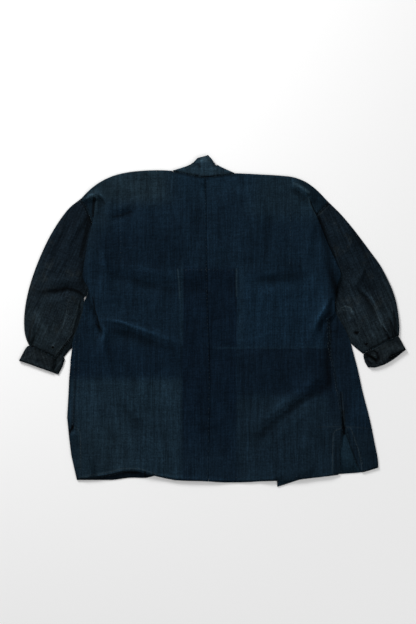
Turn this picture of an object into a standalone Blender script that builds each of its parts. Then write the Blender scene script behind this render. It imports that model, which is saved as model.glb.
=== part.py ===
"""Indigo cotton noragi work jacket, laid flat on its front with the back up.

+X is the jacket's right side as seen here, +Y runs towards the collar and +Z is up.
The origin is on the floor, under the middle of the laid-out jacket.  All sizes are in mm
until a mesh is written.  Each body cloth is one length that starts at the back hem, turns
over the shoulder and ends at the front hem, as a loom-width garment is cut.
"""
import bpy
import bmesh
import numpy as np

for old in list(bpy.data.objects):
    bpy.data.objects.remove(old, do_unlink=True)

MM = 0.001
CLOTH = 1.2            # wall of one layer of worn, mended cotton
BAND = 1.8             # wall of the collar band, folded with its filling
CUFF = 2.2             # wall of a cuff, two layers
SEAM = 0.4             # gap between two pieces where they are sewn
BASE = 4.8             # height of the back's middle surface over the fronts
ARMHOLE_Z = 3.0        # height of the back's cloth at the sleeve seam
SIDE_SEAM_Z = 2.2      # height of the back's cloth on the left side seam
WRAP_Z = 2.8           # height of the front cloth that wraps onto the back, right side
TURN = 1.2             # radius of the turns in a side tuck
WRAP_TURN = (WRAP_Z - CLOTH / 2) / 2   # radius of the wrapped front edge
NECK_CENTRE = -22.0    # middle of the back neck, along X
NECK_HALF = 77.5       # half width of the back neck, along X
BAND_WIDTH = 53.0      # finished width of the collar band
SHOULDER_TURN = (BASE - CLOTH / 2) / 2   # radius of the fold over the shoulder
ARMPIT_LEFT = (-314.0, 62.0)
ARMPIT_RIGHT = (304.0, 58.0)


def columns(names, *rows):
    """A table of sizes: one row for each section, read by the name of a column."""
    return dict(zip(names.split(), np.array(rows, dtype=float).T))


# Centre back seam, from the hem up to the neck.
CENTRE = columns("y x", (-401, -10), (-148, -5), (52, -11), (360, -16))

# Upper outline of the body: the shoulder folds on both sides and the back neck between.
TOP = columns("x y", (-331, 304), (-311, 325), (-286, 345), (-256, 361), (-226, 370),
              (-196, 375), (-136, 378), (-98, 376), (-69, 370), (-46, 364), (-16, 360),
              (9, 363), (31, 366), (55, 370), (104, 368), (194, 362), (224, 353),
              (254, 334), (289, 299))

# Hems.  The back hem lifts between x -256 and -84, where the front hem shows below it.
BACK_HEM = columns("x y", (-339, -398), (-256, -388), (-229, -380), (-199, -374),
                   (-169, -381), (-141, -388), (-84, -399), (-16, -401), (29, -404),
                   (69, -404), (124, -401), (184, -399), (256, -392), (315, -385))
FRONT_HEM_LEFT = columns("x y", (-339, -399), (-256, -399), (-201, -393), (-171, -394),
                         (-149, -390), (-131, -385), (-81, -386), (-26, -388))
FRONT_HEM_RIGHT = columns("x y", (219, -397), (269, -389), (319, -383), (371, -379),
                          (415, -367))

# Back panels, from the hem up.  out is measured sideways from the middle of the jacket.
# fold is the outer edge of the side tuck, tuck its depth, and edge the seam or vent edge.
LEFT_BACK = columns(
    "y fold tuck edge",
    (-398, 286, 0, 339), (-372, 286, 0, 345), (-352, 286, 0, 351), (-312, 286, 0, 356),
    (-282, 286, 0, 360), (-258, 286, 0, 364), (-198, 284, 0, 361), (-108, 279, 0, 356),
    (-72, 276, 0, 349), (-50, 277, 0, 346), (-36, 279, 4, 343), (-22, 281, 9, 340),
    (-8, 283, 14, 336), (2, 285, 18, 334),
    (42, 299, 25, 320), (62, 306, 25, 314), (80, 309, 28, 310), (112, 326, 35, 305),
    (150, 320, 32, 300), (215, 309, 25, 296), (250, 298, 22, 302), (265, 294, 20, 308),
    (285, 295, 18, 316), (300, 292, 10, 326), (315, 286, 0, 331))
RIGHT_BACK = columns(
    "y fold tuck edge",
    (-385, 264, 0, 315), (-358, 264, 0, 321), (-330, 264, 0, 319), (-302, 264, 0, 320),
    (-288, 264, 0, 324), (-265, 265, 0, 328), (-222, 264, 0, 321), (-148, 262, 0, 309),
    (-65, 262, 0, 294), (-22, 264, 0, 292), (-10, 272, 3, 291), (2, 288, 9, 291), (12, 302, 15, 291),
    (22, 307, 20, 291), (40, 305, 22, 294), (50, 306, 22, 299), (58, 307, 22, 304), (82, 310, 25, 301), (98, 314, 30, 298),
    (112, 325, 40, 294), (132, 316, 38, 286), (152, 308, 36, 279), (208, 282, 30, 262),
    (245, 269, 25, 259), (268, 258, 20, 264), (288, 247, 14, 281), (299, 241, 5, 288),
    (315, 238, 0, 289))

# Front panels.  opening is the edge that the collar band is sewn to; wrap is how far out
# the cloth runs before it turns up onto the back, on the right side only.
LEFT_FRONT = columns("y opening", (-400, 81), (-100, 90), (150, 98), (371, 99.5))
RIGHT_FRONT = columns(
    "y opening wrap",
    (-400, 219, 415), (-367, 217, 415), (-332, 212, 408), (-272, 202, 398),
    (-228, 194, 388), (-168, 182, 372), (-122, 172, 364), (-92, 165, 355),
    (-62, 158, 347), (-42, 152, 341), (-14, 145, 329), (5, 139, 318), (25, 133, 306),
    (42, 128, 304), (58, 122, 304), (200, 86, 304), (366, 55.5, 304))
RIGHT_FRONT_VENT = columns("y x", (-379, 373), (-368, 362), (-342, 354), (-320, 347),
                           (-292, 339), (-265, 329))

# Folds of the laid cloth: soft ridges (height over 0) and troughs along a line.
FOLDS = columns(
    "x1 y1 x2 y2 height width",
    (286, -165, 160, -250, -1.6, 13), (160, -250, 74, -340, -1.3, 14),
    (270, -190, 140, -285, 2.2, 17), (-241, -15, -274, -62, 2.4, 13),
    (-231, 2, -81, -42, 1.3, 14), (-250, 258, -194, 278, -1.4, 14),
    (-156, 92, 94, 86, -1.3, 22), (294, 55, 259, 0, 2.0, 13),
    (-325, 300, -290, 316, 2.2, 12), (-290, 316, -262, 292, 2.6, 13),
    (204, 344, 247, 314, 2.4, 12), (-190, -392, -150, -365, 2.6, 26),
    (60, -390, 60, -330, -1.0, 30), (-230, 160, -150, 60, 1.4, 26),
    (130, 250, 190, 120, 1.5, 30), (-120, -180, -150, -320, 1.5, 32))
LEFT_SLEEVE_FOLDS = columns(
    "x1 y1 x2 y2 height width",
    (-400, 76, -362, 84, -1.9, 11), (-362, 84, -325, 68, -2.2, 12),
    (-402, 96, -362, 102, 2.6, 14), (-440, 10, -458, -45, 2.2, 8),
    (-455, -8, -436, -52, -1.4, 8), (-420, 190, -380, 120, 1.6, 22),
    (-350, 20, -385, -55, 1.5, 12))
RIGHT_SLEEVE_FOLDS = columns(
    "x1 y1 x2 y2 height width",
    (380, 132, 358, 95, 2.6, 14), (364, 80, 400, 42, -1.8, 12),
    (400, 42, 411, 8, -1.6, 11), (425, -10, 441, -42, 2.2, 7),
    (444, 5, 452, -36, 2.2, 7), (454, 30, 459, -34, 1.8, 6), (380, 200, 420, 110, 1.6, 22))

# Sleeves, a row for each section from the armhole (row 0) to the cuff seam.  a is the
# folded outer edge, b the underarm edge of the top layer and c that of the bottom layer.
LEFT_SLEEVE = columns(
    "ax ay bx by cx cy level",
    (-361, 282, -320, 60, -320, 60, 3.0), (-388, 245, -324, 55, -324, 55, 3.3),
    (-411, 206, -326, 48, -326, 48, 4.0), (-430, 165, -330, 38, -330, 38, 4.2),
    (-446, 125, -334, 25, -334, 25, 4.4), (-460, 82, -339, 10, -339, 10, 4.4),
    (-469, 40, -344, -10, -344, -10, 4.4), (-473, -2, -350, -35, -350, -36, 4.4),
    (-470, -38, -370, -70, -354, -68, 4.3), (-460, -59, -392, -92, -371, -90, 4.2))
RIGHT_SLEEVE = columns(
    "ax ay bx by cx cy level",
    (321, 268, 307, 51, 307, 51, 3.0), (349, 235, 309, 42, 309, 42, 3.1),
    (372, 205, 311, 32, 311, 32, 3.6), (396, 172, 315, 18, 315, 18, 4.2),
    (418, 144, 323, 4, 323, 4, 4.4), (436, 110, 332, -13, 332, -13, 4.4),
    (450, 80, 339, -26, 339, -26, 4.4), (460, 50, 345, -40, 345, -40, 4.4),
    (465, 19, 351, -54, 351, -54, 4.4), (469, -12, 364, -67, 363, -68, 4.3),
    (467, -36, 379, -80, 378, -82, 4.2))

# Cuffs, a row for each section from the sleeve seam to the open end; bow is how far the
# section swells past the straight line from a to b.
LEFT_CUFF = columns(
    "ax ay bx by cx cy bow", (-467, -65, -392, -98, -370, -97, 0),
    (-475, -81, -395, -112, -375, -114, 0), (-484.6, -99, -401, -128, -386, -134, 0))
RIGHT_CUFF = columns(
    "ax ay bx by cx cy bow", (470, -44, 379, -89, 378, -91, 1),
    (476, -56, 384, -103, 382, -104, 4), (484.2, -72, 391, -116, 389, -116, 10))

# Neck part of the collar band, from the left front round the back neck to the right front.
# s is the sewn edge and f the folded edge; turn marks the two folds onto the back.
LEFT_NECK = columns(
    "sx sy fx fy z", (-98.3, 330, -45, 336, 0.9), (-98.8, 352, -46, 365, 0.9),
    (-98.9, 367, -47.5, 382, 0.9))
LEFT_NECK_FOLD = (-98.7, 374.4, -49.2, 389.2)
BACK_NECK = columns(
    "sx sy fx fy", (-90.0, 373.8, -46.2, 388.4), (-78.7, 372.8, -40.0, 397.0),
    (-57.9, 368.0, -34.0, 407.5), (-37.0, 363.2, -24.0, 411.0), (-16.0, 360.6, -11.0, 415.0),
    (2.0, 362.4, -5.0, 408.0), (19.9, 364.9, -1.0, 397.6), (37.7, 367.6, 3.6, 389.4))
RIGHT_NECK_FOLD = (54.7, 368.0, 7.8, 388.8)
RIGHT_NECK = columns(
    "sx sy fx fy z", (54.9, 360, 6.5, 378, 0.9), (56.0, 350, 6.0, 362, 0.9),
    (60.0, 330, 8.5, 338, 0.9))
COLLAR_LEVEL = 5.0     # height of the band's middle surface at the back neck


def through(keys, values, at):
    """Smooth curve through one column of a table, with no overshoot."""
    steps = np.diff(keys)
    slopes = np.diff(values) / steps
    tangents = np.concatenate(([slopes[0]], np.zeros(len(slopes) - 1), [slopes[-1]]))
    for i in range(1, len(slopes)):
        if slopes[i - 1] * slopes[i] > 0:
            tangents[i] = 2 * slopes[i - 1] * slopes[i] / (slopes[i - 1] + slopes[i])
    at = np.clip(at, keys[0], keys[-1])
    i = np.clip(np.searchsorted(keys, at) - 1, 0, len(steps) - 1)
    s = (at - keys[i]) / steps[i]
    return ((1 + 2 * s) * (1 - s) ** 2 * values[i] + s * (1 - s) ** 2 * steps[i] * tangents[i]
            + s * s * (3 - 2 * s) * values[i + 1]
            + s * s * (s - 1) * steps[i] * tangents[i + 1])


def ease(s):
    """0 to 1 with level ends."""
    s = np.clip(s, 0.0, 1.0)
    return s * s * (3 - 2 * s)


def mix(a, b, s):
    return a + (b - a) * s


def folds_at(folds, x, y):
    """Sum of the soft ridges and troughs at one point."""
    along_x = folds["x2"] - folds["x1"]
    along_y = folds["y2"] - folds["y1"]
    length = np.hypot(along_x, along_y)
    t = ((x - folds["x1"]) * along_x + (y - folds["y1"]) * along_y) / length ** 2
    past = np.maximum(np.abs(t - 0.5) - 0.5, 0.0) * length
    side = ((x - folds["x1"]) * along_y - (y - folds["y1"]) * along_x) / length
    reach = (side / folds["width"]) ** 2 + (past / (1.5 * folds["width"])) ** 2
    return float(np.sum(folds["height"] * np.exp(-reach)))


def back_height(x, y):
    """Middle surface of the back: it rests on the fronts and sags between the two bands."""
    up = (y + 400.0) / 760.0
    left_band = mix(-27.0, -45.0, up) + 22.0
    right_band = mix(164.0, 5.0, up) - 22.0
    inside = min(x - left_band, right_band - x)
    sag = 2.4 * ease(inside / 32.0) * ease((330.0 - y) / 260.0)
    lowest = 3.6 if inside < 0 else 1.0
    return max(BASE - sag + folds_at(FOLDS, x, y), lowest)


def cloth(name, rows, wall, colour, roughness):
    """One cut piece: a grid of middle-surface points (None where it has no cloth)."""
    mesh = bpy.data.meshes.new(name)
    bm = bmesh.new()
    grid = [[None if p is None else bm.verts.new([c * MM for c in p]) for p in row]
            for row in rows]
    for lower, upper in zip(grid, grid[1:]):
        for i in range(len(lower) - 1):
            corners = (lower[i], lower[i + 1], upper[i + 1], upper[i])
            if None not in corners:
                bm.faces.new(corners)
    loose = [v for v in bm.verts if not v.link_faces]
    bmesh.ops.delete(bm, geom=loose, context="VERTS")
    bmesh.ops.recalc_face_normals(bm, faces=bm.faces)
    bm.to_mesh(mesh)
    bm.free()
    piece = bpy.data.objects.new(name, mesh)
    garment.objects.link(piece)
    shell = piece.modifiers.new("cloth wall", "SOLIDIFY")
    shell.thickness = wall * MM
    shell.offset = 0.0
    shell.use_even_offset = False
    shell.use_quality_normals = True
    material = bpy.data.materials.new(name + " cotton")
    material.use_nodes = True
    shader = material.node_tree.nodes["Principled BSDF"]
    shader.inputs["Base Color"].default_value = (*colour, 1.0)
    shader.inputs["Roughness"].default_value = roughness
    shader.inputs["Metallic"].default_value = 0.0
    mesh.materials.append(material)
    mesh.shade_smooth()
    mesh.set_sharp_from_angle(angle=np.radians(50))
    return piece


def station(x, y, hem):
    """How far a point lies from the hem (0) to the shoulder fold or neck (1)."""
    bottom = through(hem["x"], hem["y"], x)
    top = top_of(x)
    return (y - bottom) / (top - bottom)


def top_of(x):
    """Height on the page where a body cloth turns over the shoulder or ends at the neck."""
    edge = through(TOP["x"], TOP["y"], x)
    if abs(x - NECK_CENTRE) < NECK_HALF - 0.5:
        return edge
    return edge - CLOTH / 2 - SHOULDER_TURN


# Rows up the back and the front, as shares of the length below and above the armpit.
BACK_ROWS_BELOW = (0, 0.06, 0.14, 0.24, 0.35, 0.46, 0.57, 0.67, 0.74, 0.775, 0.80, 0.825,
                   0.85, 0.875, 0.90, 0.925, 0.95, 0.98)
BACK_ROWS_ABOVE = (0, 0.07, 0.14, 0.19, 0.25, 0.34, 0.46, 0.58, 0.69, 0.78, 0.83, 0.86,
                   0.89, 0.92, 0.96, 1.0)
FRONT_ROWS_ABOVE = (0.88, 0.68, 0.45, 0.22, 0)
SHOULDER_ANGLES = (30.0, -30.0, -90.0)
# Columns across a back: centre to neck, neck to the tuck's rise, the rise, the tuck and
# the strip beyond it to the seam.
NECK_COLUMNS = 4
MIDDLE_COLUMNS = 6
RISE_COLUMNS = 3
EDGE_COLUMNS = 3


def by_station(side, table, column, hem):
    """A side column against the station of its own points, as (stations, values)."""
    out = table[column] if column != "under" else table["fold"] - table["tuck"]
    stations = np.array([station(side * o, y, hem) for o, y in zip(out, table["y"])])
    order = np.argsort(stations)
    return stations[order], out[order]


def back_row(side, table, sides, t):
    """One section across a back panel, from the centre seam to the side edge."""
    fold, under, edge = (through(*sides[c], t) for c in ("fold", "under", "edge"))
    y_mid = mix(-400.0, 360.0, t)
    centre = side * through(CENTRE["y"], CENTRE["x"], y_mid) + SEAM / 2
    fold = fold - CLOTH / 2
    depth = fold - under
    raised = ease(depth / 4.0)
    share = ease((depth - 4.0) / 8.0)
    neck_out = side * NECK_CENTRE + NECK_HALF
    neck_share = (neck_out + side * 16.0) / (through(*sides["fold"], 1.0) + side * 16.0)
    armpit = ARMPIT_LEFT if side < 0 else ARMPIT_RIGHT
    y_edge = mix(-400.0, top_of(side * edge), t)
    above = ease((y_edge - armpit[1] + 6.0) / 12.0)
    below_z = SIDE_SEAM_Z if side < 0 else WRAP_Z
    edge_z = mix(below_z, ARMHOLE_Z, above)
    crest = edge_z + 4 * TURN
    neck = centre + neck_share * (fold - centre)
    if t >= 1.0:
        neck = neck_out
    rise = min(under, fold - 4) - 46.0
    outs = list(np.linspace(centre, neck, NECK_COLUMNS + 1))
    outs += list(np.linspace(neck, rise, MIDDLE_COLUMNS + 1)[1:])
    outs += list(np.linspace(rise, min(under, fold - 4) - 3.0, RISE_COLUMNS + 1)[1:])
    points = []
    hem = BACK_HEM
    for o in outs:
        x = side * o
        y = mix(through(hem["x"], hem["y"], x), top_of(x), t)
        lift = ease((o - rise) / (outs[-1] - rise))
        points.append((x, y, mix(back_height(x, y), crest, lift * raised)))
    folded = ((fold - TURN, crest), (fold, crest - TURN), (fold - TURN, crest - 2 * TURN),
              (under + TURN, crest - 2 * TURN), (under, crest - 3 * TURN),
              (under + TURN, edge_z))
    flat = np.linspace(outs[-1], edge, len(folded) + EDGE_COLUMNS + 1)[1:]
    stepped = np.linspace(fold - TURN - 1.0, min(fold + 9.0, edge - 4.0), len(folded))
    for i, o_flat in enumerate(flat):
        x = side * o_flat
        y = mix(through(hem["x"], hem["y"], x), top_of(x), t)
        settle = ease((o_flat - edge + 26.0) / 26.0)
        z_flat = mix(back_height(x, y), edge_z, settle)
        if i < len(folded):
            o_step, z_step = stepped[i], mix(crest, edge_z, ease(i / (len(folded) - 1)))
        else:
            o_step, z_step = mix(stepped[-1], edge, (i - len(folded) + 1) / EDGE_COLUMNS), edge_z
        o_flat, z_flat = mix(o_flat, o_step, raised), mix(z_flat, z_step, raised)
        if i < len(folded):
            o_fold, z_fold = folded[i]
        else:
            step = (i - len(folded) + 1) / EDGE_COLUMNS
            o_fold, z_fold = mix(under + TURN, edge, step), edge_z
        o = mix(o_flat, o_fold, share)
        x = side * o
        y = mix(through(hem["x"], hem["y"], x), top_of(x), t)
        points.append((x, y, mix(z_flat, z_fold, share)))
    return points


def front_row(side, t, hem, shoulder, edge):
    """One section across a front panel, from the collar band to the side seam."""
    table = LEFT_FRONT if side < 0 else RIGHT_FRONT
    opening = through(table["y"], table["opening"], mix(-395.0, 365.0, t))
    y_edge = mix(through(hem["x"], hem["y"], side * edge), top_of(side * edge), t)
    count = len(shoulder)
    shape = (np.array(shoulder) - shoulder[0]) / (shoulder[-1] - shoulder[0])
    even = np.linspace(0, 1, count)
    if side > 0:
        even = np.concatenate((np.linspace(0, 0.965, count - 8), np.linspace(0.965, 1, 9)[1:]))
    spread = mix(even, shape, ease((t - 0.6) / 0.4))
    path = [(o, CLOTH / 2) for o in mix(opening, edge, spread)]
    if side > 0 and y_edge < ARMPIT_RIGHT[1] - 2:
        wrap = through(table["y"], table["wrap"], y_edge) - CLOTH / 2
        if y_edge < RIGHT_FRONT_VENT["y"][-1]:
            edge = through(RIGHT_FRONT_VENT["y"], RIGHT_FRONT_VENT["x"], y_edge)
        else:
            edge = edge + SEAM
        low = CLOTH / 2
        under = count - 8
        ramp = [(o, low) for o in np.linspace(opening, wrap - 5.0, under)]
        ramp += [(wrap - 5.0 + 0.6 * k, mix(low, WRAP_Z, ease(k / 6))) for k in range(1, 9)]
        turned = [(o, low) for o in np.linspace(opening, wrap - WRAP_TURN, under)]
        turned += [(wrap, low + WRAP_TURN), (wrap - WRAP_TURN, WRAP_Z)]
        turned += [(o, WRAP_Z) for o in np.linspace(wrap - WRAP_TURN, edge, 7)[1:]]
        raised = ease((ARMPIT_RIGHT[1] - y_edge) / 8.0)
        share = ease((ARMPIT_RIGHT[1] - 7.0 - y_edge) / 10.0)
        path = [tuple(mix(mix(np.array(a), np.array(b), raised), np.array(c), share))
                for a, b, c in zip(path, ramp, turned)]
    points = []
    for out, z in path:
        x = side * out
        points.append((x, mix(through(hem["x"], hem["y"], x), top_of(x), t), z))
    return points


def body(side):
    """The grid of one body cloth, and its armhole edge from back armpit to front armpit."""
    table = LEFT_BACK if side < 0 else RIGHT_BACK
    armpit = ARMPIT_LEFT if side < 0 else ARMPIT_RIGHT
    front_hem = FRONT_HEM_LEFT if side < 0 else FRONT_HEM_RIGHT
    sides = {c: by_station(side, table, c, BACK_HEM) for c in ("fold", "under", "edge")}
    pit = station(armpit[0], armpit[1], BACK_HEM)
    stations = [pit * s for s in BACK_ROWS_BELOW] + [mix(pit, 1, s) for s in BACK_ROWS_ABOVE]
    rows = [back_row(side, table, sides, t) for t in stations]
    last = rows[-1]
    for angle in SHOULDER_ANGLES:
        turned = []
        for i, (x, y, z) in enumerate(last):
            if i < NECK_COLUMNS:
                turned.append(None)
                continue
            radius = (z - CLOTH / 2) / 2
            bend = np.radians(angle)
            turned.append((x, y + SHOULDER_TURN * np.cos(bend),
                           CLOTH / 2 + radius + radius * np.sin(bend)))
        rows.append(turned)
    shoulder = [side * p[0] for p in last[NECK_COLUMNS:]]
    front_edge = by_station(side, table, "edge", front_hem)
    pit = station(armpit[0], armpit[1], front_hem)
    for share in FRONT_ROWS_ABOVE:
        t = mix(pit, 1, share)
        rows.append([None] * NECK_COLUMNS
                    + front_row(side, t, front_hem, shoulder, through(*front_edge, t)))
    for back in reversed(rows[:len(BACK_ROWS_BELOW)]):
        x, y = back[-1][:2]
        t = max(station(x, y, front_hem), 0.0)
        rows.append([None] * NECK_COLUMNS + front_row(side, t, front_hem, shoulder, side * x))
    first = len(BACK_ROWS_BELOW)
    count = len(BACK_ROWS_ABOVE) + len(SHOULDER_ANGLES) + len(FRONT_ROWS_ABOVE)
    armhole = [row[-1] for row in rows[first:first + count]]
    opening = [row[NECK_COLUMNS] for row in rows[-len(FRONT_ROWS_ABOVE) - len(BACK_ROWS_BELOW):]]
    return rows, armhole, opening


def ring(section, fractions, level, folds, end_z, underarm_z):
    """One section round a laid sleeve: top layer from b to a, the fold, then back to c."""
    ax, ay, bx, by, cx, cy = section
    long = np.hypot(ax - bx, ay - by)
    radius = (end_z - CLOTH / 2) / 2
    flat_end = 1 - (CLOTH / 2 + radius) / long
    points = []
    for f in fractions["top"]:
        x, y = mix(bx, ax, f * flat_end), mix(by, ay, f * flat_end)
        full = level + folds_at(folds, x, y)
        from_b = f * long
        from_a = (1 - f) * long
        z = mix(underarm_z, max(full, 2.6), ease(from_b / 16.0))
        points.append((x, y, mix(end_z, z, ease(from_a / 22.0))))
    for angle in SHOULDER_ANGLES:
        bend = np.radians(angle)
        reach = flat_end + radius * np.cos(bend) / long
        points.append((mix(bx, ax, reach), mix(by, ay, reach),
                       CLOTH / 2 + radius + radius * np.sin(bend)))
    flat_a = (mix(bx, ax, flat_end), mix(by, ay, flat_end))
    for f in fractions["under"]:
        points.append((mix(cx, flat_a[0], f), mix(cy, flat_a[1], f), CLOTH / 2))
    return points


def sleeve(table, armhole, folds):
    """The grid of one sleeve; its first section follows the armhole, one seam away."""
    top_count = len(BACK_ROWS_ABOVE)
    edge = np.array([p[:2] for p in armhole[:top_count]])
    run = np.concatenate(([0], np.cumsum(np.hypot(*np.diff(edge, axis=0).T))))
    fractions = {"top": run / run[-1], "under": FRONT_ROWS_ABOVE}
    rows = []
    for i, level in enumerate(table["level"]):
        section = [table[c][i] for c in ("ax", "ay", "bx", "by", "cx", "cy")]
        cuffward = ease((i - len(table["level"]) + 3) / 2.0)
        rows.append(ring(section, fractions, level, folds, 3.0 if i == 0 else 3.4,
                         mix(SIDE_SEAM_Z, 3.6, cuffward)))
    first = []
    for (x, y, z), (nx, ny, nz) in zip(armhole, rows[0]):
        reach = np.hypot(nx - x, ny - y)
        gap = (SEAM + 0.1) / reach
        first.append((mix(x, nx, gap), mix(y, ny, gap), z))
    halfway = [(mix(a[0], b[0], 0.5), mix(a[1], b[1], 0.5), mix(a[2], b[2], 0.4))
               for a, b in zip(first, rows[0])]
    return [first, halfway] + rows


def cuff(table, sleeve_table):
    """The grid of one cuff: it goes on from the sleeve's last section."""
    top_z = CUFF * 1.5 + 0.6
    radius = (top_z - CUFF / 2) / 2
    sections = [[sleeve_table[c][-1] for c in ("ax", "ay", "bx", "by", "cx", "cy")] + [0.0]]
    sections += [list(row) for row in zip(*table.values())]
    rows = []
    for ax, ay, bx, by, cx, cy, bow in sections:
        a, b, c = np.array((ax, ay)), np.array((bx, by)), np.array((cx, cy))
        across = (a - b) / np.hypot(*(a - b))
        down = np.array((across[1], -across[0]))
        down = down if down[1] < 0 else -down
        shift = down * (SEAM + 0.2) if not rows else down * 0.0
        a = a - across * 2.4 if not rows else a
        flat_a = a - across * (CUFF / 2 + radius)
        row = []
        for s in np.linspace(0, 1, 9):
            point = mix(b, flat_a, s) + down * bow * np.sin(np.pi * s ** 0.7) + shift
            row.append((*point, top_z))
        for angle in SHOULDER_ANGLES:
            bend = np.radians(angle)
            point = flat_a + across * radius * np.cos(bend) + shift
            row.append((*point, CUFF / 2 + radius + radius * np.sin(bend)))
        for s in np.linspace(1, 0, 9)[1:]:
            point = mix(c, flat_a, s) + down * bow * 1.1 * np.sin(np.pi * s ** 0.8) + shift
            row.append((*point, CUFF / 2))
        rows.append(row)
    return rows


def band_row(seam, free, z):
    """One section across the collar band, from the sewn to the folded edge."""
    return [(mix(seam[0], free[0], s), mix(seam[1], free[1], s), z)
            for s in np.linspace(0, 1, 4)]


def collar(left_opening, right_opening):
    """The grid of the collar band, from the left front hem round to the right front hem."""
    low = BAND / 2
    radius = (COLLAR_LEVEL - low) / 2
    rows = []
    for x, y, z in reversed(left_opening):
        if y < 300:
            rows.append(band_row((x + SEAM, y), (x + SEAM + BAND_WIDTH, y - 1), low))
    for row in zip(*LEFT_NECK.values()):
        rows.append(band_row(row[0:2], row[2:4], row[4]))

    def fold(ends, angles):
        sx, sy, fx, fy = ends
        out = np.array((sy - fy, fx - sx))
        out = out / np.hypot(*out) * (1 if out[1] > 0 else -1)
        for angle in angles:
            bend = np.radians(angle)
            shift = out * radius * np.cos(bend)
            rows.append(band_row((sx + shift[0] * 0.2, sy + shift[1]),
                                 (fx + shift[0], fy + shift[1]),
                                 low + radius + radius * np.sin(bend)))

    fold(LEFT_NECK_FOLD, (-90, -30, 30, 90))
    for sx, sy, fx, fy in zip(*BACK_NECK.values()):
        rows.append(band_row((sx, sy), (fx, fy), COLLAR_LEVEL))
    fold(RIGHT_NECK_FOLD, (90, 30, -30, -90))
    for row in zip(*RIGHT_NECK.values()):
        rows.append(band_row(row[0:2], row[2:4], row[4]))
    for x, y, z in right_opening:
        if y < 300:
            drop = 18.0 * ease((-330 - y) / 60.0)
            free = (x - SEAM - BAND_WIDTH - drop / 6, y - drop)
            rows.append(band_row((x - SEAM, y), free, low))
    return rows


garment = bpy.data.collections.new("noragi jacket")
bpy.context.scene.collection.children.link(garment)
BODY_INDIGO = (0.012, 0.026, 0.048)
SLEEVE_INDIGO = (0.014, 0.021, 0.029)
openings = {}
for side, word in ((-1, "left"), (1, "right")):
    grid, armhole, openings[side] = body(side)
    cloth("body_" + word, grid, CLOTH, BODY_INDIGO, 0.92)
    table = LEFT_SLEEVE if side < 0 else RIGHT_SLEEVE
    folds = LEFT_SLEEVE_FOLDS if side < 0 else RIGHT_SLEEVE_FOLDS
    grid = sleeve(table, armhole, folds)
    cloth("sleeve_" + word, grid, CLOTH, SLEEVE_INDIGO, 0.94)
    grid = cuff(LEFT_CUFF if side < 0 else RIGHT_CUFF, table)
    cloth("cuff_" + word, grid, CUFF, SLEEVE_INDIGO, 0.94)
cloth("collar_band", collar(openings[-1], openings[1]), BAND, BODY_INDIGO, 0.9)
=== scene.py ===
# The camera, the pale table and the light.
# The jacket lies face down with its back up, so the camera looks straight down on it, and the
# light is the even light of a table for photographing textiles.
import math

import bmesh
import bpy
import numpy as np
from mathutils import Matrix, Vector, noise
from mathutils.bvhtree import BVHTree
from mathutils.kdtree import KDTree


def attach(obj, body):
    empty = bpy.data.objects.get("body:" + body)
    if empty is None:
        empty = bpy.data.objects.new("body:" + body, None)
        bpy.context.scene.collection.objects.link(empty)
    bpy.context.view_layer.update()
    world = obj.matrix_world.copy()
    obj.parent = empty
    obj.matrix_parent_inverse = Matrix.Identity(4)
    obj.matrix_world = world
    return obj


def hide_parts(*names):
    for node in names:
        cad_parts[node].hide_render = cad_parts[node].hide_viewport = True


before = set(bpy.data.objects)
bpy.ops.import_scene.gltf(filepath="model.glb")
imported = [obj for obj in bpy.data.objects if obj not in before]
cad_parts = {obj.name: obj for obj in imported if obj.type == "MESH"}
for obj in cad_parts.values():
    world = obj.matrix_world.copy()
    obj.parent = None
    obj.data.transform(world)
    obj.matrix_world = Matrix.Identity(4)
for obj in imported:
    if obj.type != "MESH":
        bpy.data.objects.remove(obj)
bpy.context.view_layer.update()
MM = 0.001
scene = bpy.context.scene
scene.view_settings.view_transform = "Standard"
bpy.ops.object.select_all(action="DESELECT")

bpy.ops.object.camera_add(location=(-0.01125, 0.0225, 4.005), rotation=(0, 0, 0))
camera = bpy.context.object
camera.data.lens = 92.3
camera.data.sensor_width = 36
scene.camera = camera

bpy.ops.mesh.primitive_plane_add(size=7, location=(0, 0, 0))
table = bpy.context.object
table.name = "table"
table.data.transform(table.matrix_world)
paper = bpy.data.materials.new("white_paper")
paper.use_nodes = True
paper_shader = paper.node_tree.nodes["Principled BSDF"]
paper_shader.inputs["Base Color"].default_value = (0.93, 0.93, 0.93, 1)
paper_shader.inputs["Roughness"].default_value = 0.9
table.data.materials.append(paper)

world = bpy.data.worlds.new("white_room")
scene.world = world
world.use_nodes = True
world.node_tree.nodes["Background"].inputs["Color"].default_value = (1, 1, 1, 1)
world.node_tree.nodes["Background"].inputs["Strength"].default_value = 0.42
for lamp_name, place, size, power in (
        ("softbox_collar_side", (-1.9, 2.5, 1.35), 1.1, 128),
        ("softbox_hem_side", (2.1, -2.0, 2.4), 2.0, 30)):
    bpy.ops.object.light_add(type="AREA", location=place)
    lamp = bpy.context.object
    lamp.name = lamp_name
    lamp.data.shape = "DISK"
    lamp.data.size = size
    lamp.data.energy = power
    lamp.rotation_euler = (-Vector(place)).to_track_quat("-Z", "Y").to_euler()


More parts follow.
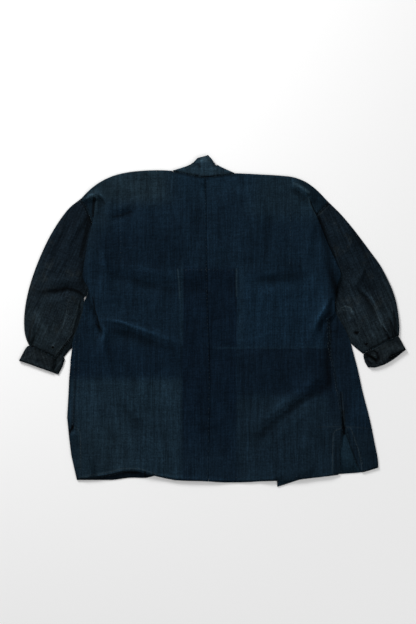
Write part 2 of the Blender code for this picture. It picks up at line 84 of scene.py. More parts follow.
# The body: a left and a right length of indigo cotton, joined down the centre back.
# Each runs from the front hem over the shoulder to the back hem with no seam at the shoulder.
# The cloth is old and washed: faded on the shoulders, dark where something lay over it.
CREASES = [
    # Points (x mm, y mm, height mm, half width mm); a ridge is above 0 and a trough below.
    # Back, right half, lower part: the long slanting trough and the ridges on both sides of it.
    [(296.2, -127.5, -0.8, 8), (286.2, -165, -2.8, 9), (226.2, -197.5, -3.2, 11), (161.2, -247.5, -3.1, 12),
     (106.2, -295, -2.8, 11), (73.8, -340, -0.5, 9)],
    [(273.8, -132.5, 0.8, 9), (231.2, -167.5, 4.9, 11), (171.2, -212.5, 6.1, 12), (123.8, -255, 3.6, 11),
     (83.8, -292.5, 0.6, 9)],
    [(293.8, -197.5, 0.8, 8), (241.2, -222.5, 3.2, 10), (183.8, -270, 2.8, 11), (133.8, -315, 0.6, 10)],
    [(291.2, -17.5, -0.5, 7), (288.8, -62.5, -2.8, 8), (286.2, -107.5, -2.2, 9), (288.8, -142.5, -0.4, 8)],
    [(303.8, 72.5, 0.9, 6), (276.2, 27.5, 6.5, 6), (258.8, 0, 5.7, 6), (248.8, -37.5, 2.3, 8),
     (243.8, -77.5, 0.4, 9)],
    [(291.2, 20, -2.5, 6), (271.2, -10, -2.8, 7), (263.8, -47.5, -0.4, 8)],
    [(261.2, -265, 0.8, 5), (318.8, -262.5, 2.7, 5), (403.8, -265, 0.8, 6)],
    [(218.8, -277.5, 0.4, 7), (273.8, -292.5, -1.6, 8), (291.2, -347.5, -0.2, 8)],
    [(68.8, 92.5, -0.4, 10), (138.8, 105, -2.1, 12), (218.8, 112.5, -1.5, 11), (273.8, 125, -0.2, 9)],
    [(83.8, 62.5, 0.6, 10), (156.2, 75, 2.7, 12), (233.8, 77.5, 1.7, 10), (281.2, 87.5, 0.4, 8)],
    # Back, left half.
    [(-306.2, 52.5, -0.8, 5), (-293.8, 12.5, -2.9, 5), (-283.8, -17.5, -3.2, 5), (-278.8, -30, -0.6, 5)],
    [(-278.8, 0, 1.5, 6), (-266.2, -22.5, 6.1, 7), (-273.8, -52.5, 4.9, 8), (-273.8, -92.5, 0.6, 9)],
    [(-256.2, -40, -0.6, 7), (-258.8, -72.5, -2.2, 9), (-251.2, -117.5, -0.2, 9)],
    [(-278.8, 5, 1.5, 5), (-231.2, 0, 4.9, 5), (-168.8, -22.5, 5.1, 6), (-111.2, -42.5, 3.6, 6),
     (-63.8, -55, 0.6, 6)],
    [(-261.2, -20, -0.8, 7), (-206.2, -32.5, -2.4, 9), (-141.2, -57.5, -1.8, 10), (-81.2, -77.5, -0.2, 9)],
    [(-251.2, 255, -1, 7), (-221.2, 267.5, -2.9, 8), (-188.8, 280, -0.5, 7)],
    [(-256.2, 275, 0.9, 7), (-226.2, 287.5, 3.8, 8), (-191.2, 300, 0.6, 7)],
    [(-286.2, 122.5, -0.4, 10), (-211.2, 105, -2.2, 12), (-143.8, 87.5, -2.4, 12), (-76.2, 92.5, -1.9, 12),
     (6.2, 85, -2, 13), (58.8, 92.5, -0.2, 10)],
    [(-276.2, 147.5, 0.6, 10), (-206.2, 135, 3, 12), (-131.2, 122.5, 3.4, 12), (-31.2, 125, 1.7, 12),
     (38.8, 127.5, 0.4, 10)],
    [(-291.2, 212.5, 0.6, 8), (-273.8, 167.5, 4.2, 9), (-263.8, 112.5, 3.4, 10), (-266.2, 57.5, 0.4, 10)],
    [(-301.2, -147.5, 0.6, 9), (-283.8, -207.5, 3.2, 11), (-286.2, -277.5, 3.8, 10),
     (-298.8, -327.5, 0.4, 9)],
    [(-236.2, -177.5, -0.4, 9), (-216.2, -227.5, -2, 10), (-178.8, -257.5, -1.5, 10),
     (-131.2, -275, -0.2, 9)],
    [(-181.2, -192.5, 0.6, 8), (-141.2, -207.5, 2.5, 9), (-91.2, -210, 0.4, 8)],
    # Down the middle, beside the seam.
    [(-41.2, 327.5, -0.4, 7), (-36.2, 237.5, -1.5, 8), (-38.8, 147.5, -0.4, 8)],
    [(3.8, 52.5, -0.4, 8), (11.2, -42.5, -1.5, 9), (6.2, -127.5, -0.2, 8)],
    [(-41.2, -127.5, 0.6, 9), (-48.8, -217.5, 2.3, 10), (-38.8, -312.5, 0.4, 9)],
    [(-61.2, -257.5, -0.4, 8), (-23.8, -267.5, -1.8, 9), (23.8, -257.5, -0.2, 8)],
    # Shoulders: hooks and folds where the cloth turns over the sleeve heads.
    [(-325, 300, 1.5, 5), (-306.2, 313.8, 6.5, 5), (-291.2, 317.5, 7.2, 5), (-278.8, 313.8, 6.5, 5),
     (-268.8, 306.2, 4.6, 5), (-261.2, 292.5, 0.9, 5)],
    [(-298.8, 300, -1.9, 5), (-286.2, 306.2, -2.9, 5), (-278.8, 295, -2.2, 6), (-281.2, 267.5, -0.4, 7)],
    [(-248.8, 332.5, 0.6, 7), (-256.2, 292.5, 3.6, 7), (-261.2, 247.5, 2.3, 8), (-253.8, 202.5, 0.4, 8)],
    [(203.8, 343.8, 0.8, 5), (218.8, 336.2, 4.9, 5), (235, 323.8, 5.5, 5), (247.5, 313.8, 1.1, 5)],
    [(193.8, 327.5, -0.5, 6), (216.2, 320, -2.4, 6), (233.8, 305, -1.8, 7), (241.2, 277.5, -0.2, 7)],
    [(263.8, 267.5, 0.8, 7), (243.8, 220, 4, 9), (236.2, 160, 3, 10), (246.2, 112.5, 0.4, 9)],
    [(123.8, 312.5, -0.2, 10), (143.8, 255, -1.9, 12), (138.8, 185, -1.2, 12), (123.8, 137.5, -0.2, 9)],
    [(-156.2, 327.5, 0.4, 10), (-166.2, 272.5, 2.7, 11), (-151.2, 202.5, 0.4, 10)],
    [(33.8, 337.5, 0.4, 9), (73.8, 320, 2.3, 10), (113.8, 322.5, 0.4, 9)],
    # Hem: the lifted part of the left back and the flat ripples beside it.
    [(-251.2, -372.5, 0.6, 7), (-201.2, -355, 3.8, 9), (-156.2, -367.5, 0.8, 8)],
    [(-66.2, -392.5, 0.6, 6), (-56.2, -352.5, 2.7, 7), (-61.2, -312.5, 0.4, 7)],
    [(33.8, -387.5, 0.6, 6), (23.8, -335, 2.3, 8), (31.2, -287.5, 0.4, 8)],
    [(98.8, -392.5, -0.4, 7), (103.8, -352.5, -1.4, 8), (93.8, -317.5, -0.2, 8)],
    [(218.8, -387.5, 0.8, 6), (208.8, -342.5, 2.5, 8), (221.2, -297.5, 0.4, 8)],
    # Left sleeve: the slack folded under at the elbow, and the pleat let into the cuff.
    [(-426.2, 70, -0.6, 6), (-393.8, 76.2, -3, 6), (-363.8, 83.8, -3.2, 6), (-331.2, 76.2, -1.5, 6)],
    [(-416.2, 97.5, 0.9, 8), (-381.2, 102.5, 3.4, 8), (-338.8, 100, 1.9, 8)],
    [(-436.2, 45, 0.8, 8), (-396.2, 52.5, 2.6, 8), (-356.2, 60, 2.0, 8), (-331.2, 55, 0.6, 7)],
    [(-441.2, 5, 0.6, 4), (-450, -22.5, 4.2, 4), (-456.2, -50, 4.2, 4)],
    [(-436.2, 2.5, -0.4, 3), (-443.8, -27.5, -1.6, 3), (-448.8, -55, -1.4, 3)],
    [(-408.8, -2.5, 0.6, 6), (-413.8, -35, 2.7, 6), (-421.2, -65, 1.5, 5)],
    [(-321.2, 267.5, 0.6, 7), (-351.2, 212.5, 3.4, 8), (-376.2, 147.5, 0.6, 9)],
    [(-341.2, 265, -0.4, 7), (-376.2, 207.5, -1.9, 8), (-401.2, 147.5, -0.4, 8)],
    [(-411.2, 157.5, 0.6, 8), (-436.2, 92.5, 2.5, 8), (-446.2, 37.5, 0.4, 8)],
    # Right sleeve: the same, with more slack above the elbow and three pleats.
    [(383.8, 147.5, 0.8, 6), (371.2, 115, 5.3, 6), (358.8, 92.5, 1.9, 6)],
    [(361.2, 80, -0.6, 6), (385.3, 61, -3, 6), (398, 37.5, -2.8, 6), (410.8, 7.5, -0.6, 6)],
    [(376.2, 77.5, 0.9, 6), (401.2, 55, 4.9, 6), (421.2, 17.5, 4.6, 6), (436.2, -20, 0.8, 5)],
    [(316.2, 117.5, -0.5, 6), (321.2, 87.5, -2.5, 7), (336.2, 62.5, -0.5, 6)],
    [(336.2, 40, 0.9, 6), (351.2, 20, 3.8, 7), (361.2, -7.5, 0.8, 6)],
    [(423.8, -15, 0.8, 3), (433.8, -30, 3.8, 3), (441.2, -42.5, 2.7, 3)],
    [(443.8, 5, 0.8, 3), (448.8, -17.5, 4.2, 3), (451.2, -36.2, 2.7, 3)],
    [(433.8, -2.5, -0.5, 4), (443.8, -25, -2.2, 4), (446.2, -37.5, -1, 3)],
    [(393.8, -22.5, 0.6, 5), (408.8, -42.5, 3, 5), (416.2, -55, 1.1, 4)],
    [(303.8, 262.5, 0.6, 7), (343.8, 202.5, 3.6, 8), (368.8, 142.5, 0.8, 8)],
    [(323.8, 267.5, -0.4, 7), (371.2, 202.5, -1.9, 8), (398.8, 137.5, -0.4, 8)],
    [(408.8, 147.5, 0.6, 8), (438.8, 82.5, 2.7, 8), (448.8, 27.5, 0.6, 7)],
    # Cuffs: buckled a little, the right one crumpled at its open corner.
    [(-463.8, -77.5, 0.6, 4), (-441.2, -90, 2.7, 5), (-413.8, -97.5, 0.6, 4)],
    [(393.8, -82.5, 0.9, 3), (406.2, -91.2, 4.9, 3), (421.2, -95, 0.9, 3)],
    [(386.2, -95, 0.9, 3), (398.8, -101.2, 4.2, 3), (413.8, -107.5, 0.8, 3)],
    [(428.8, -62.5, 0.6, 4), (446.2, -72.5, 2.5, 5), (463.8, -72.5, 0.6, 4)],
]
FRONT_CREASES = [
    # The same on the two fronts, underneath, where they push up between the layers.
    [(-330, 40, 0.1, 10), (-300, -40, 0.9, 14), (-250, -95, 0.7, 15), (-205, -120, 0.1, 10)],
    [(-300, -210, 0.1, 9), (-240, -232, 1.0, 13), (-175, -228, 0.2, 10)],
    [(-260, 300, 0.1, 10), (-215, 240, 0.7, 15), (-190, 160, 0.1, 11)],
    [(300, 90, 0.1, 10), (262, 30, 0.8, 13), (205, 5, 0.2, 12), (160, 12, 0.1, 9)],
    [(330, -120, 0.1, 9), (268, -170, 1.0, 15), (210, -240, 0.8, 14), (185, -300, 0.1, 9)],
    [(250, 310, 0.1, 9), (228, 250, 0.6, 12), (236, 180, 0.1, 10)],
]
SHADES = [
    # Points (x mm, y mm, how much paler or darker, half width mm); darker is painted shade, paler is wear,
    # pale thread and painted highlight.
    # Body: painted shade beside the tucks and side seams and in the notch of the left vent; paler along the
    # worn folds, wear and painted highlight.
    [(-316.2, 77.5, -0.3, 5), (-296.2, 27.5, -0.5, 4), (-283.8, -15, -0.62, 4), (-276.2, -27.5, -0.4, 4)],
    [(-321.2, 7.5, -0.2, 9), (-306.2, -27.5, -0.22, 9)],
    [(296.2, 52.5, -0.3, 5), (293.8, 7.5, -0.35, 4), (291.2, -60, -0.46, 5), (288.8, -127.5, -0.42, 7),
     (296.2, -165, -0.2, 7)],
    [(278.8, 32.5, 0.4, 3), (261.2, -2.5, 0.45, 3), (253.8, -22.5, 0.15, 4)],
    [(283.8, 147.5, -0.2, 6), (298.8, 107.5, -0.35, 6), (308.8, 62.5, -0.35, 6)],
    [(-278.8, 2.5, 0.2, 3), (-231.2, 0, 0.4, 3), (-168.8, -22.5, 0.4, 3), (-68.8, -55, 0.1, 3)],
    [(-336.2, -35, -0.2, 3), (-341.2, -147.5, -0.26, 3), (-348.8, -265, -0.36, 3)],
    [(-348.8, -265, -0.7, 3), (-358.8, -278.8, -0.75, 3)],
    [(-229.5, 327.5, 0.16, 2.5), (-230.2, 237.5, 0.2, 2.5), (-228.8, 142.5, 0.16, 2.5)],
    [(193.8, 342.5, 0.1, 2.5), (195.3, 240, 0.14, 2.5), (192.8, 140, 0.1, 2.5)],
    [(-326.2, -391.2, 0.3, 3), (-256.2, -381.5, 0.35, 3), (-198.8, -368.5, 0.35, 3),
     (-141.2, -383.5, 0.35, 3), (-13.8, -396, 0.3, 3), (118.8, -395, 0.26, 3), (293.8, -384, 0.3, 3)],
    [(320.5, -272.5, 0.25, 2.5), (302.2, -290, 0.3, 2.5), (299.7, -385, 0.3, 2.5)],
    [(336.2, -270, 0.25, 2.5), (352.8, -302.5, 0.3, 2.5), (372.8, -372.5, 0.35, 2.5)],
    # Collar: painted shade in its seam and under the peak, pale along the fold at the top.
    [(-99.5, 376, -0.4, 3), (-68.8, 368, -0.5, 3), (-23.8, 360.2, -0.55, 3), (26.2, 365, -0.5, 3),
     (55, 369.8, -0.4, 3)],
    [(-83.8, 382, 0.25, 2.5), (-38.8, 380.8, 0.32, 2.5), (8.8, 381.5, 0.25, 2.5)],
    [(-21.2, 380, -0.4, 1.8), (-21.2, 362.5, -0.4, 1.8)],
    [(-41.2, 397.5, -0.28, 3), (-31.2, 387.5, -0.22, 3)],
    [(-34.8, 401.5, 0.4, 3), (-23.8, 400, 0.45, 4)],
    [(-8.8, 402.5, -0.2, 3), (-1.2, 387.5, -0.22, 3)],
    # Painted shade in the small pucker at the top of the right side seam.
    [(291.2, -25, -0.3, 2.5), (308.8, -26, -0.36, 2.5), (314.7, -15, -0.36, 2.5), (311.2, 5, -0.25, 2.5)],
    # Left sleeve: painted shadow of the tuck, painted shade in the folded slack, the pleat, the opening and
    # the hole, with paler wear and painted highlight on the folds.
    [(-331.2, 302.5, -0.25, 3), (-318.8, 290, -0.35, 3), (-311.2, 262.5, -0.4, 4), (-318.8, 202.5, -0.32, 6),
     (-326.2, 147.5, -0.28, 6), (-323.8, 97.5, -0.34, 6)],
    [(-426.2, 75, -0.22, 5), (-393.8, 75, -0.6, 5), (-363.8, 82.5, -0.68, 4), (-336.2, 75, -0.62, 4),
     (-323.8, 65, -0.5, 4)],
    [(-446.2, 0, -0.4, 3), (-453.8, -27.5, -0.6, 3), (-458.8, -52.5, -0.6, 3)],
    [(-438.8, -2.5, 0.4, 4), (-446.2, -37.5, 0.45, 4)],
    [(-441.2, 22.5, 0.25, 10), (-416.2, -27.5, 0.34, 11), (-401.2, -52.5, 0.2, 8)],
    [(-376.2, 52.5, 0.2, 8), (-371.2, -27.5, 0.26, 8)],
    [(-331.2, 45, 0.3, 3), (-341.2, -10, 0.36, 3), (-351.2, -42.5, 0.3, 3)],
    [(-338.8, 42.5, -0.3, 2.5), (-347.8, -10, -0.36, 2.5), (-356.2, -40, -0.4, 2.5), (-381.2, -77.5, -0.8, 3),
     (-391.2, -97.5, -0.8, 3)],
    [(-399.8, -65.3, -1.0, 3), (-397.8, -66.5, -1.0, 3)],
    [(-406.8, -60, 0.45, 1.6), (-399.2, -58, 0.45, 1.6)],
    [(-460, -58.8, -0.5, 2.6), (-431.2, -71.5, -0.52, 2.6), (-398.8, -85.8, -0.5, 2.6)],
    # Right sleeve: painted shade and highlight at the same places, three pleats and two holes.
    [(288.8, 292.5, -0.3, 3), (263.8, 267.5, -0.35, 3), (273.8, 222.5, -0.28, 6), (288.8, 172.5, -0.3, 6),
     (301.2, 117.5, -0.4, 6), (313.8, 72.5, -0.5, 5)],
    [(361.2, 80, -0.3, 4), (385.3, 61, -0.45, 4), (398.8, 37.5, -0.36, 4), (411.2, 7.5, -0.2, 4)],
    [(376.2, 77.5, 0.3, 4), (398.8, 55, 0.42, 3), (418.8, 17.5, 0.5, 3), (433.8, -17.5, 0.3, 3)],
    [(426.2, -16.2, -0.6, 2.5), (441.2, -42.5, -0.62, 2.5)],
    [(443.8, 2.5, -0.6, 2.5), (451.2, -36.2, -0.6, 2.5)],
    [(453.8, 22.5, -0.5, 2.5), (457.5, -32.5, -0.52, 2.5)],
    [(336.2, 37.5, 0.5, 3), (351.2, 22.5, 0.55, 3), (346.2, 2.5, 0.4, 3)],
    [(348.8, 62.5, 0.34, 14), (388.8, 7.5, 0.46, 14), (403.8, -27.5, 0.34, 11)],
    [(362.2, -28, -1.0, 3.6), (363.8, -29.5, -1.0, 3.6)],
    [(386.2, -56, -1.0, 2.8), (388.2, -57.5, -1.0, 2.8)],
    [(463.8, -36.2, -0.5, 2.6), (443.8, -42.5, -0.5, 2.6), (418.8, -56.2, -0.5, 2.6),
     (397.5, -67.5, -0.5, 2.6)],
    # Cuffs: pale along the fold, painted shade in the crumpled corner and inside the right cuff.
    [(-476.2, -92.5, 0.45, 3), (-446.2, -102.5, 0.45, 3), (-406.2, -120, 0.35, 3)],
    [(-453.8, -70, 0.4, 3), (-458.8, -90, 0.4, 3)],
    [(-401.2, -100, -0.42, 3), (-395, -122.5, -0.42, 3)],
    [(386.2, -82.5, -1.0, 3), (398.8, -90, -1.0, 3), (408.8, -97.5, -0.9, 3), (411.2, -107.5, -0.7, 3)],
    [(401.2, -77.5, -0.9, 2.5), (413.8, -82.5, -0.95, 2.5), (418.8, -95, -0.8, 2.5)],
    [(443.8, -91, -1.0, 4.5), (458.8, -84, -1.0, 4.5), (476.2, -75, -1.0, 4.5)],
    [(398.8, -105, 0.4, 3), (413.8, -111.5, 0.4, 3)],
    [(428.8, -77.5, 0.32, 4), (461.2, -60, 0.36, 4)],
]


GENTLE, STEEP = 1.35, 0.85  # a crease is wider on one side of its line than on the other
LAYER_APART = 8  # a height counts as so many times a distance across, so layers stay apart
FAR = 60.0  # mm; more than this from an edge counts as this


def crease_lift(x, y, creases):
    """Height in mm that the creases give at each of the points x, y in mm."""
    lift = np.zeros(len(x))
    for crease in creases:
        nearest = np.full(len(x), 1e9)
        own = np.zeros(len(x))
        for (ax, ay, ah, aw), (bx, by, bh, bw) in zip(crease, crease[1:]):
            run = (bx - ax) ** 2 + (by - ay) ** 2
            share = np.clip(((x - ax) * (bx - ax) + (y - ay) * (by - ay)) / run, 0, 1)
            away = np.hypot(x - ax - share * (bx - ax), y - ay - share * (by - ay))
            side = (x - ax) * (by - ay) - (y - ay) * (bx - ax)
            width = (aw + share * (bw - aw)) * np.where(side > 0, GENTLE, STEEP)
            height = (ah + share * (bh - ah)) * np.exp(-(away / width) ** 2)
            own = np.where(away < nearest, height, own)
            nearest = np.minimum(nearest, away)
        lift += own
    return lift


def soft_copy(node, wall, lowest=2.1, levels=3):
    """The model's cloth with its triangles joined to quads, rounded, and creased along the listed lines."""
    bpy.ops.object.select_all(action="DESELECT")
    piece = bpy.data.objects.new(node + "_cloth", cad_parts[node].data.copy())
    scene.collection.objects.link(piece)
    bpy.context.view_layer.objects.active = piece
    piece.select_set(True)
    piece.data.materials.clear()
    bpy.ops.object.mode_set(mode="EDIT")
    bpy.ops.mesh.select_all(action="SELECT")
    bpy.ops.mesh.remove_doubles(threshold=0.00003)
    bpy.ops.mesh.tris_convert_to_quads(face_threshold=1.2, shape_threshold=1.2)
    bpy.ops.mesh.select_all(action="DESELECT")
    bpy.ops.mesh.edges_select_sharp(sharpness=math.radians(72))
    bpy.ops.transform.edge_crease(value=1)
    bpy.ops.mesh.select_all(action="DESELECT")
    bpy.ops.object.mode_set(mode="OBJECT")
    rounded = piece.modifiers.new("rounded", "SUBSURF")
    rounded.levels = rounded.render_levels = levels
    bpy.ops.object.modifier_apply(modifier="rounded")
    mesh = piece.data
    count = len(mesh.vertices)
    place = np.empty(count * 3)
    normal = np.empty(count * 3)
    mesh.vertices.foreach_get("co", place)
    mesh.vertices.foreach_get("normal", normal)
    place = place.reshape(-1, 3) / MM
    up = normal.reshape(-1, 3)[:, 2]
    middle = place[:, 2] - np.clip(up * 1.6, -1, 1) * wall / 2
    lift = crease_lift(place[:, 0], place[:, 1], CREASES)
    lift += np.array([0.75 * noise.noise(Vector((x * 0.011, y * 0.008, 1.5)))
                      + 0.35 * noise.noise(Vector((x * 0.035, y * 0.024, 7.5)))
                      for x, y in place[:, :2]])
    lift = np.maximum(lift, lowest - middle)
    lift *= np.clip((middle - 1.5) / 0.9, 0, 1)
    under = crease_lift(place[:, 0], place[:, 1], FRONT_CREASES)
    under *= np.clip((2.0 - middle) / 1.0, 0, 1)
    place[:, 2] += lift + np.clip(under, 0, 1.1)
    mesh.vertices.foreach_set("co", (place * MM).ravel())
    mesh.update()
    # The crease heights, for painted shade in the troughs and paler wear and painted highlight on the ridges.
    mesh.attributes.new("crease_wear_and_shade", "FLOAT", "POINT").data.foreach_set("value", lift)
    # The SHADES values: painted shade and highlight, with some wear.
    shade = crease_lift(place[:, 0], place[:, 1], SHADES) * np.clip(middle - 0.9, 0, 1)
    mesh.attributes.new("shade", "FLOAT", "POINT").data.foreach_set("value", shade)
    bpy.ops.object.mode_set(mode="EDIT")
    bpy.ops.mesh.edges_select_sharp(sharpness=math.radians(60))
    bpy.ops.object.mode_set(mode="OBJECT")
    rim = [vertex.index for vertex in mesh.vertices if vertex.select]
    nearest = KDTree(len(rim))
    flat = place * (1, 1, LAYER_APART)
    for number, index in enumerate(rim):
        nearest.insert(flat[index], number)
    nearest.balance()
    away = [min(nearest.find(point)[2], FAR) for point in flat]
    mesh.attributes.new("from_edge", "FLOAT", "POINT").data.foreach_set("value", away)
    bpy.ops.object.shade_smooth_by_angle(angle=math.radians(50))
    piece.select_set(False)
    return piece


def dress(piece, node, material):
    """Gives a soft copy its material and puts it in the place of its node."""
    piece.data.materials.append(material)
    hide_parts(node)
    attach(piece, "root")


def lie_along(piece, edge, reach):
    """Eases the edge of a piece sideways; edge has rows of y, where it is and where it goes, in mm."""
    mesh = piece.data
    place = np.empty(len(mesh.vertices) * 3)
    mesh.vertices.foreach_get("co", place)
    place = place.reshape(-1, 3) / MM
    y, own, goal = np.array(sorted(edge)).T
    now = np.interp(place[:, 1], y, own)
    share = np.clip(1 - np.abs(place[:, 0] - now) / reach, 0, 1)
    share = share ** 2 * (3 - 2 * share)
    place[:, 0] += (np.interp(place[:, 1], y, goal) - now) * share
    mesh.vertices.foreach_set("co", (place * MM).ravel())
    mesh.update()


class Finish:
    """Builds a cloth finish node by node from Object coordinates, in mm."""

    def __init__(self, name, base):
        self.material = bpy.data.materials.new(name)
        self.material.use_nodes = True
        self.tree = self.material.node_tree
        self.shader = self.tree.nodes["Principled BSDF"]
        coordinates = self.node("TexCoord")
        self.place = coordinates.outputs["Object"]
        split = self.node("SeparateXYZ")
        self.put(split.inputs[0], self.place)
        self.x = self.times(split.outputs[0], 1000)
        self.y = self.times(split.outputs[1], 1000)
        self.z = self.times(split.outputs[2], 1000)
        together = self.node("CombineXYZ")
        self.put(together.inputs[0], self.x)
        self.put(together.inputs[1], self.y)
        self.flat = together.outputs[0]
        self.colour = (*base, 1)

    def node(self, kind):
        return self.tree.nodes.new("ShaderNode" + kind)

    def put(self, socket, value):
        if isinstance(value, bpy.types.NodeSocket):
            self.tree.links.new(value, socket)
        else:
            socket.default_value = value

    def math(self, kind, a, b=0.0, c=0.0):
        node = self.node("Math")
        node.operation = kind
        self.put(node.inputs[0], a)
        self.put(node.inputs[1], b)
        self.put(node.inputs[2], c)
        return node.outputs[0]

    def times(self, a, b):
        return self.math("MULTIPLY", a, b)

    def vector(self, kind, a, b):
        node = self.node("VectorMath")
        node.operation = kind
        self.put(node.inputs[0], a)
        self.put(node.inputs[1], b)
        return node.outputs["Value"]

    def along_cloth(self, name):
        """A value that the cloth carries at each of its points."""
        node = self.node("Attribute")
        node.attribute_name = name
        return node.outputs["Fac"]

    def ramp(self, value, start, end, low=0.0, high=1.0):
        """Goes smoothly from low at start to high at end."""
        node = self.node("MapRange")
        node.interpolation_type = "SMOOTHSTEP"
        self.put(node.inputs["Value"], value)
        for socket, number in zip(("From Min", "From Max", "To Min", "To Max"), (start, end, low, high)):
            node.inputs[socket].default_value = number
        return node.outputs[0]

    def between(self, value, start, end, soft):
        """Is 1 from start to end and 0 outside, with soft ends."""
        return self.times(self.ramp(value, start - soft, start + soft),
                          self.ramp(value, end - soft, end + soft, 1.0, 0.0))

    def patch(self, x0, x1, y0, y1, soft_x, soft_y):
        """A soft-edged rectangle on the cloth, in mm."""
        return self.times(self.between(self.wander_x, x0, x1, soft_x),
                          self.between(self.wander_y, y0, y1, soft_y))

    def noise(self, size, detail=3.0, rough=0.5, turn=0.0):
        """Cloudy variation whose marks are size mm across, along and deep, turned with the cloth."""
        mapping = self.node("Mapping")
        mapping.vector_type = "TEXTURE"
        mapping.inputs["Scale"].default_value = [side * MM for side in size]
        mapping.inputs["Rotation"].default_value = (0, 0, turn)
        self.put(mapping.inputs["Vector"], self.place)
        node = self.node("TexNoise")
        node.inputs["Scale"].default_value = 1.0
        node.inputs["Detail"].default_value = detail
        node.inputs["Roughness"].default_value = rough
        self.put(node.inputs["Vector"], mapping.outputs[0])
        return node.outputs["Fac"]

    def wander(self, amount):
        """Coordinates that wander a little, so no edge on the cloth is ruled straight."""
        cloud = self.noise((83, 83, 83))
        self.wander_x = self.math("MULTIPLY_ADD", self.math("SUBTRACT", cloud, 0.5), amount, self.x)
        cloud = self.noise((50, 125, 50))
        self.wander_y = self.math("MULTIPLY_ADD", self.math("SUBTRACT", cloud, 0.5), amount, self.y)

    def tint(self, mask, colour, share=1.0):
        """Lays a colour over what is there, as strongly as the mask says."""
        node = self.node("Mix")
        node.data_type = "RGBA"
        self.put(node.inputs["Factor"], self.times(mask, share))
        self.put(node.inputs[6], self.colour)
        self.put(node.inputs[7], (*colour, 1))
        self.colour = node.outputs[2]

    def from_line(self, points):
        """How far the cloth is from a line through the points x, y, in mm."""
        nearest = None
        for (ax, ay), (bx, by) in zip(points, points[1:]):
            run = (bx - ax) ** 2 + (by - ay) ** 2
            share = self.vector("DOT_PRODUCT", self.flat, ((bx - ax) / run, (by - ay) / run, 0))
            share = self.math("SUBTRACT", share, (ax * (bx - ax) + ay * (by - ay)) / run)
            foot = self.node("Mix")
            foot.data_type = "VECTOR"
            self.put(foot.inputs["Factor"], share)
            self.put(foot.inputs[4], (ax, ay, 0))
            self.put(foot.inputs[5], (bx, by, 0))
            away = self.vector("DISTANCE", self.flat, foot.outputs[1])
            nearest = away if nearest is None else self.math("MINIMUM", nearest, away)
        return nearest

    def draw(self, points, half, colour, share):
        """A thin line on the cloth, half mm to each side: a rubbed fold edge paler with painted highlight, or
        painted shadow in a slit or a seam.
        """
        self.tint(self.ramp(self.from_line(points), half + 0.6, half - 0.6), colour, share)

    def draw_side(self, lines, side, middle=0):
        """Draws those of the lines that start on one side of the middle."""
        for points, half, colour, share in lines:
            if (points[0][0] < middle) == (side == "left"):
                self.draw(points, half, colour, share)

    def scale(self, tone):
        """Makes what is there paler or darker."""
        node = self.node("VectorMath")
        node.operation = "SCALE"
        self.put(node.inputs[0], self.colour)
        self.put(node.inputs["Scale"], tone)
        self.colour = node.outputs[0]

    def edge(self, speck):
        """Ridges paler from rubbing and painted highlight, painted shade in the troughs and along the sewn
        edges, and a frayed line.
        """
        crease_wear_and_shade = self.along_cloth("crease_wear_and_shade")
        # Painted shade in the crease troughs; ridges paler, wear and painted highlight.
        self.scale(self.ramp(crease_wear_and_shade, -2.6, 0.3, 0.5, 1.0))
        self.scale(self.ramp(crease_wear_and_shade, 1.2, 6.5, 1.0, 1.7))
        # Painted shade and highlight, with some wear, from the SHADES table.
        self.scale(self.ramp(self.along_cloth("shade"), -1.0, 1.0, 0.0, 2.0))
        # Painted shade along the edges of each piece except beside the centre seam, then a paler frayed line
        # of wear.
        away = self.along_cloth("from_edge")
        seam = self.math("ABSOLUTE", self.math("SUBTRACT", self.x, CENTRE_SEAM))
        self.scale(self.math("MAXIMUM", self.ramp(away, 1.0, 7.0, 0.70, 1.0),
                             self.ramp(seam, 18, 10, 0.0, 0.95)))
        frayed = self.times(self.ramp(away, 2.4, 0.4), self.ramp(speck, 0.42, 0.6))
        frayed = self.times(frayed, self.ramp(seam, 10, 18))
        self.tint(frayed, (0.0136, 0.0270, 0.0363), 0.55)

    def cloth(self, yarn, streak, turn=0.0, edged=True):
        """Plain weave, slubs and warp streaks in the colour, and the bump that goes with them."""
        wide = self.noise((10, 240, 40), 3.0, 0.6, turn)
        fine = self.noise((3.0, 60, 15), 2.0, 0.6, turn)
        weft = self.noise((45, 3.0, 15), 2.0, 0.6, turn)
        speck = self.noise((3.4, 4.2, 4.0), 2.0, 0.7, turn)
        cloud = self.noise((42, 60, 45), 4.0, 0.65, turn)
        for mask, share in ((wide, 0.8), (fine, 1.5), (weft, 0.6), (speck, 1.7), (cloud, 0.8)):
            swing = 0.42 * streak * share
            self.scale(self.ramp(mask, 0.28, 0.72, 1 - swing, 1 + swing))
        if edged:
            self.edge(speck)
        mapping = self.node("Mapping")
        mapping.inputs["Rotation"].default_value = (0, 0, turn)
        self.put(mapping.inputs["Vector"], self.place)
        threads = []
        for direction in ("X", "Y"):
            wave = self.node("TexWave")
            wave.wave_type = "BANDS"
            wave.bands_direction = direction
            wave.inputs["Scale"].default_value = 1 / yarn / MM / 6.283  # one band for each yarn
            wave.inputs["Distortion"].default_value = 0.6
            wave.inputs["Detail"].default_value = 1.0
            wave.inputs["Detail Scale"].default_value = 0.4
            self.put(wave.inputs["Vector"], mapping.outputs[0])
            threads.append(wave.outputs["Fac"])
        weave = self.times(threads[0], threads[1])
        height = self.math("MULTIPLY_ADD", fine, 0.5, self.times(weave, 0.3))
        height = self.math("MULTIPLY_ADD", speck, 0.45, height)
        crinkle = self.noise((26, 17, 22), 4.0, 0.6, turn)
        height = self.math("MULTIPLY_ADD", crinkle, 5.5, height)
        rumple = self.noise((95, 38, 60), 3.0, 0.5, turn)
        self.height = self.math("MULTIPLY_ADD", rumple, 12.0, height)

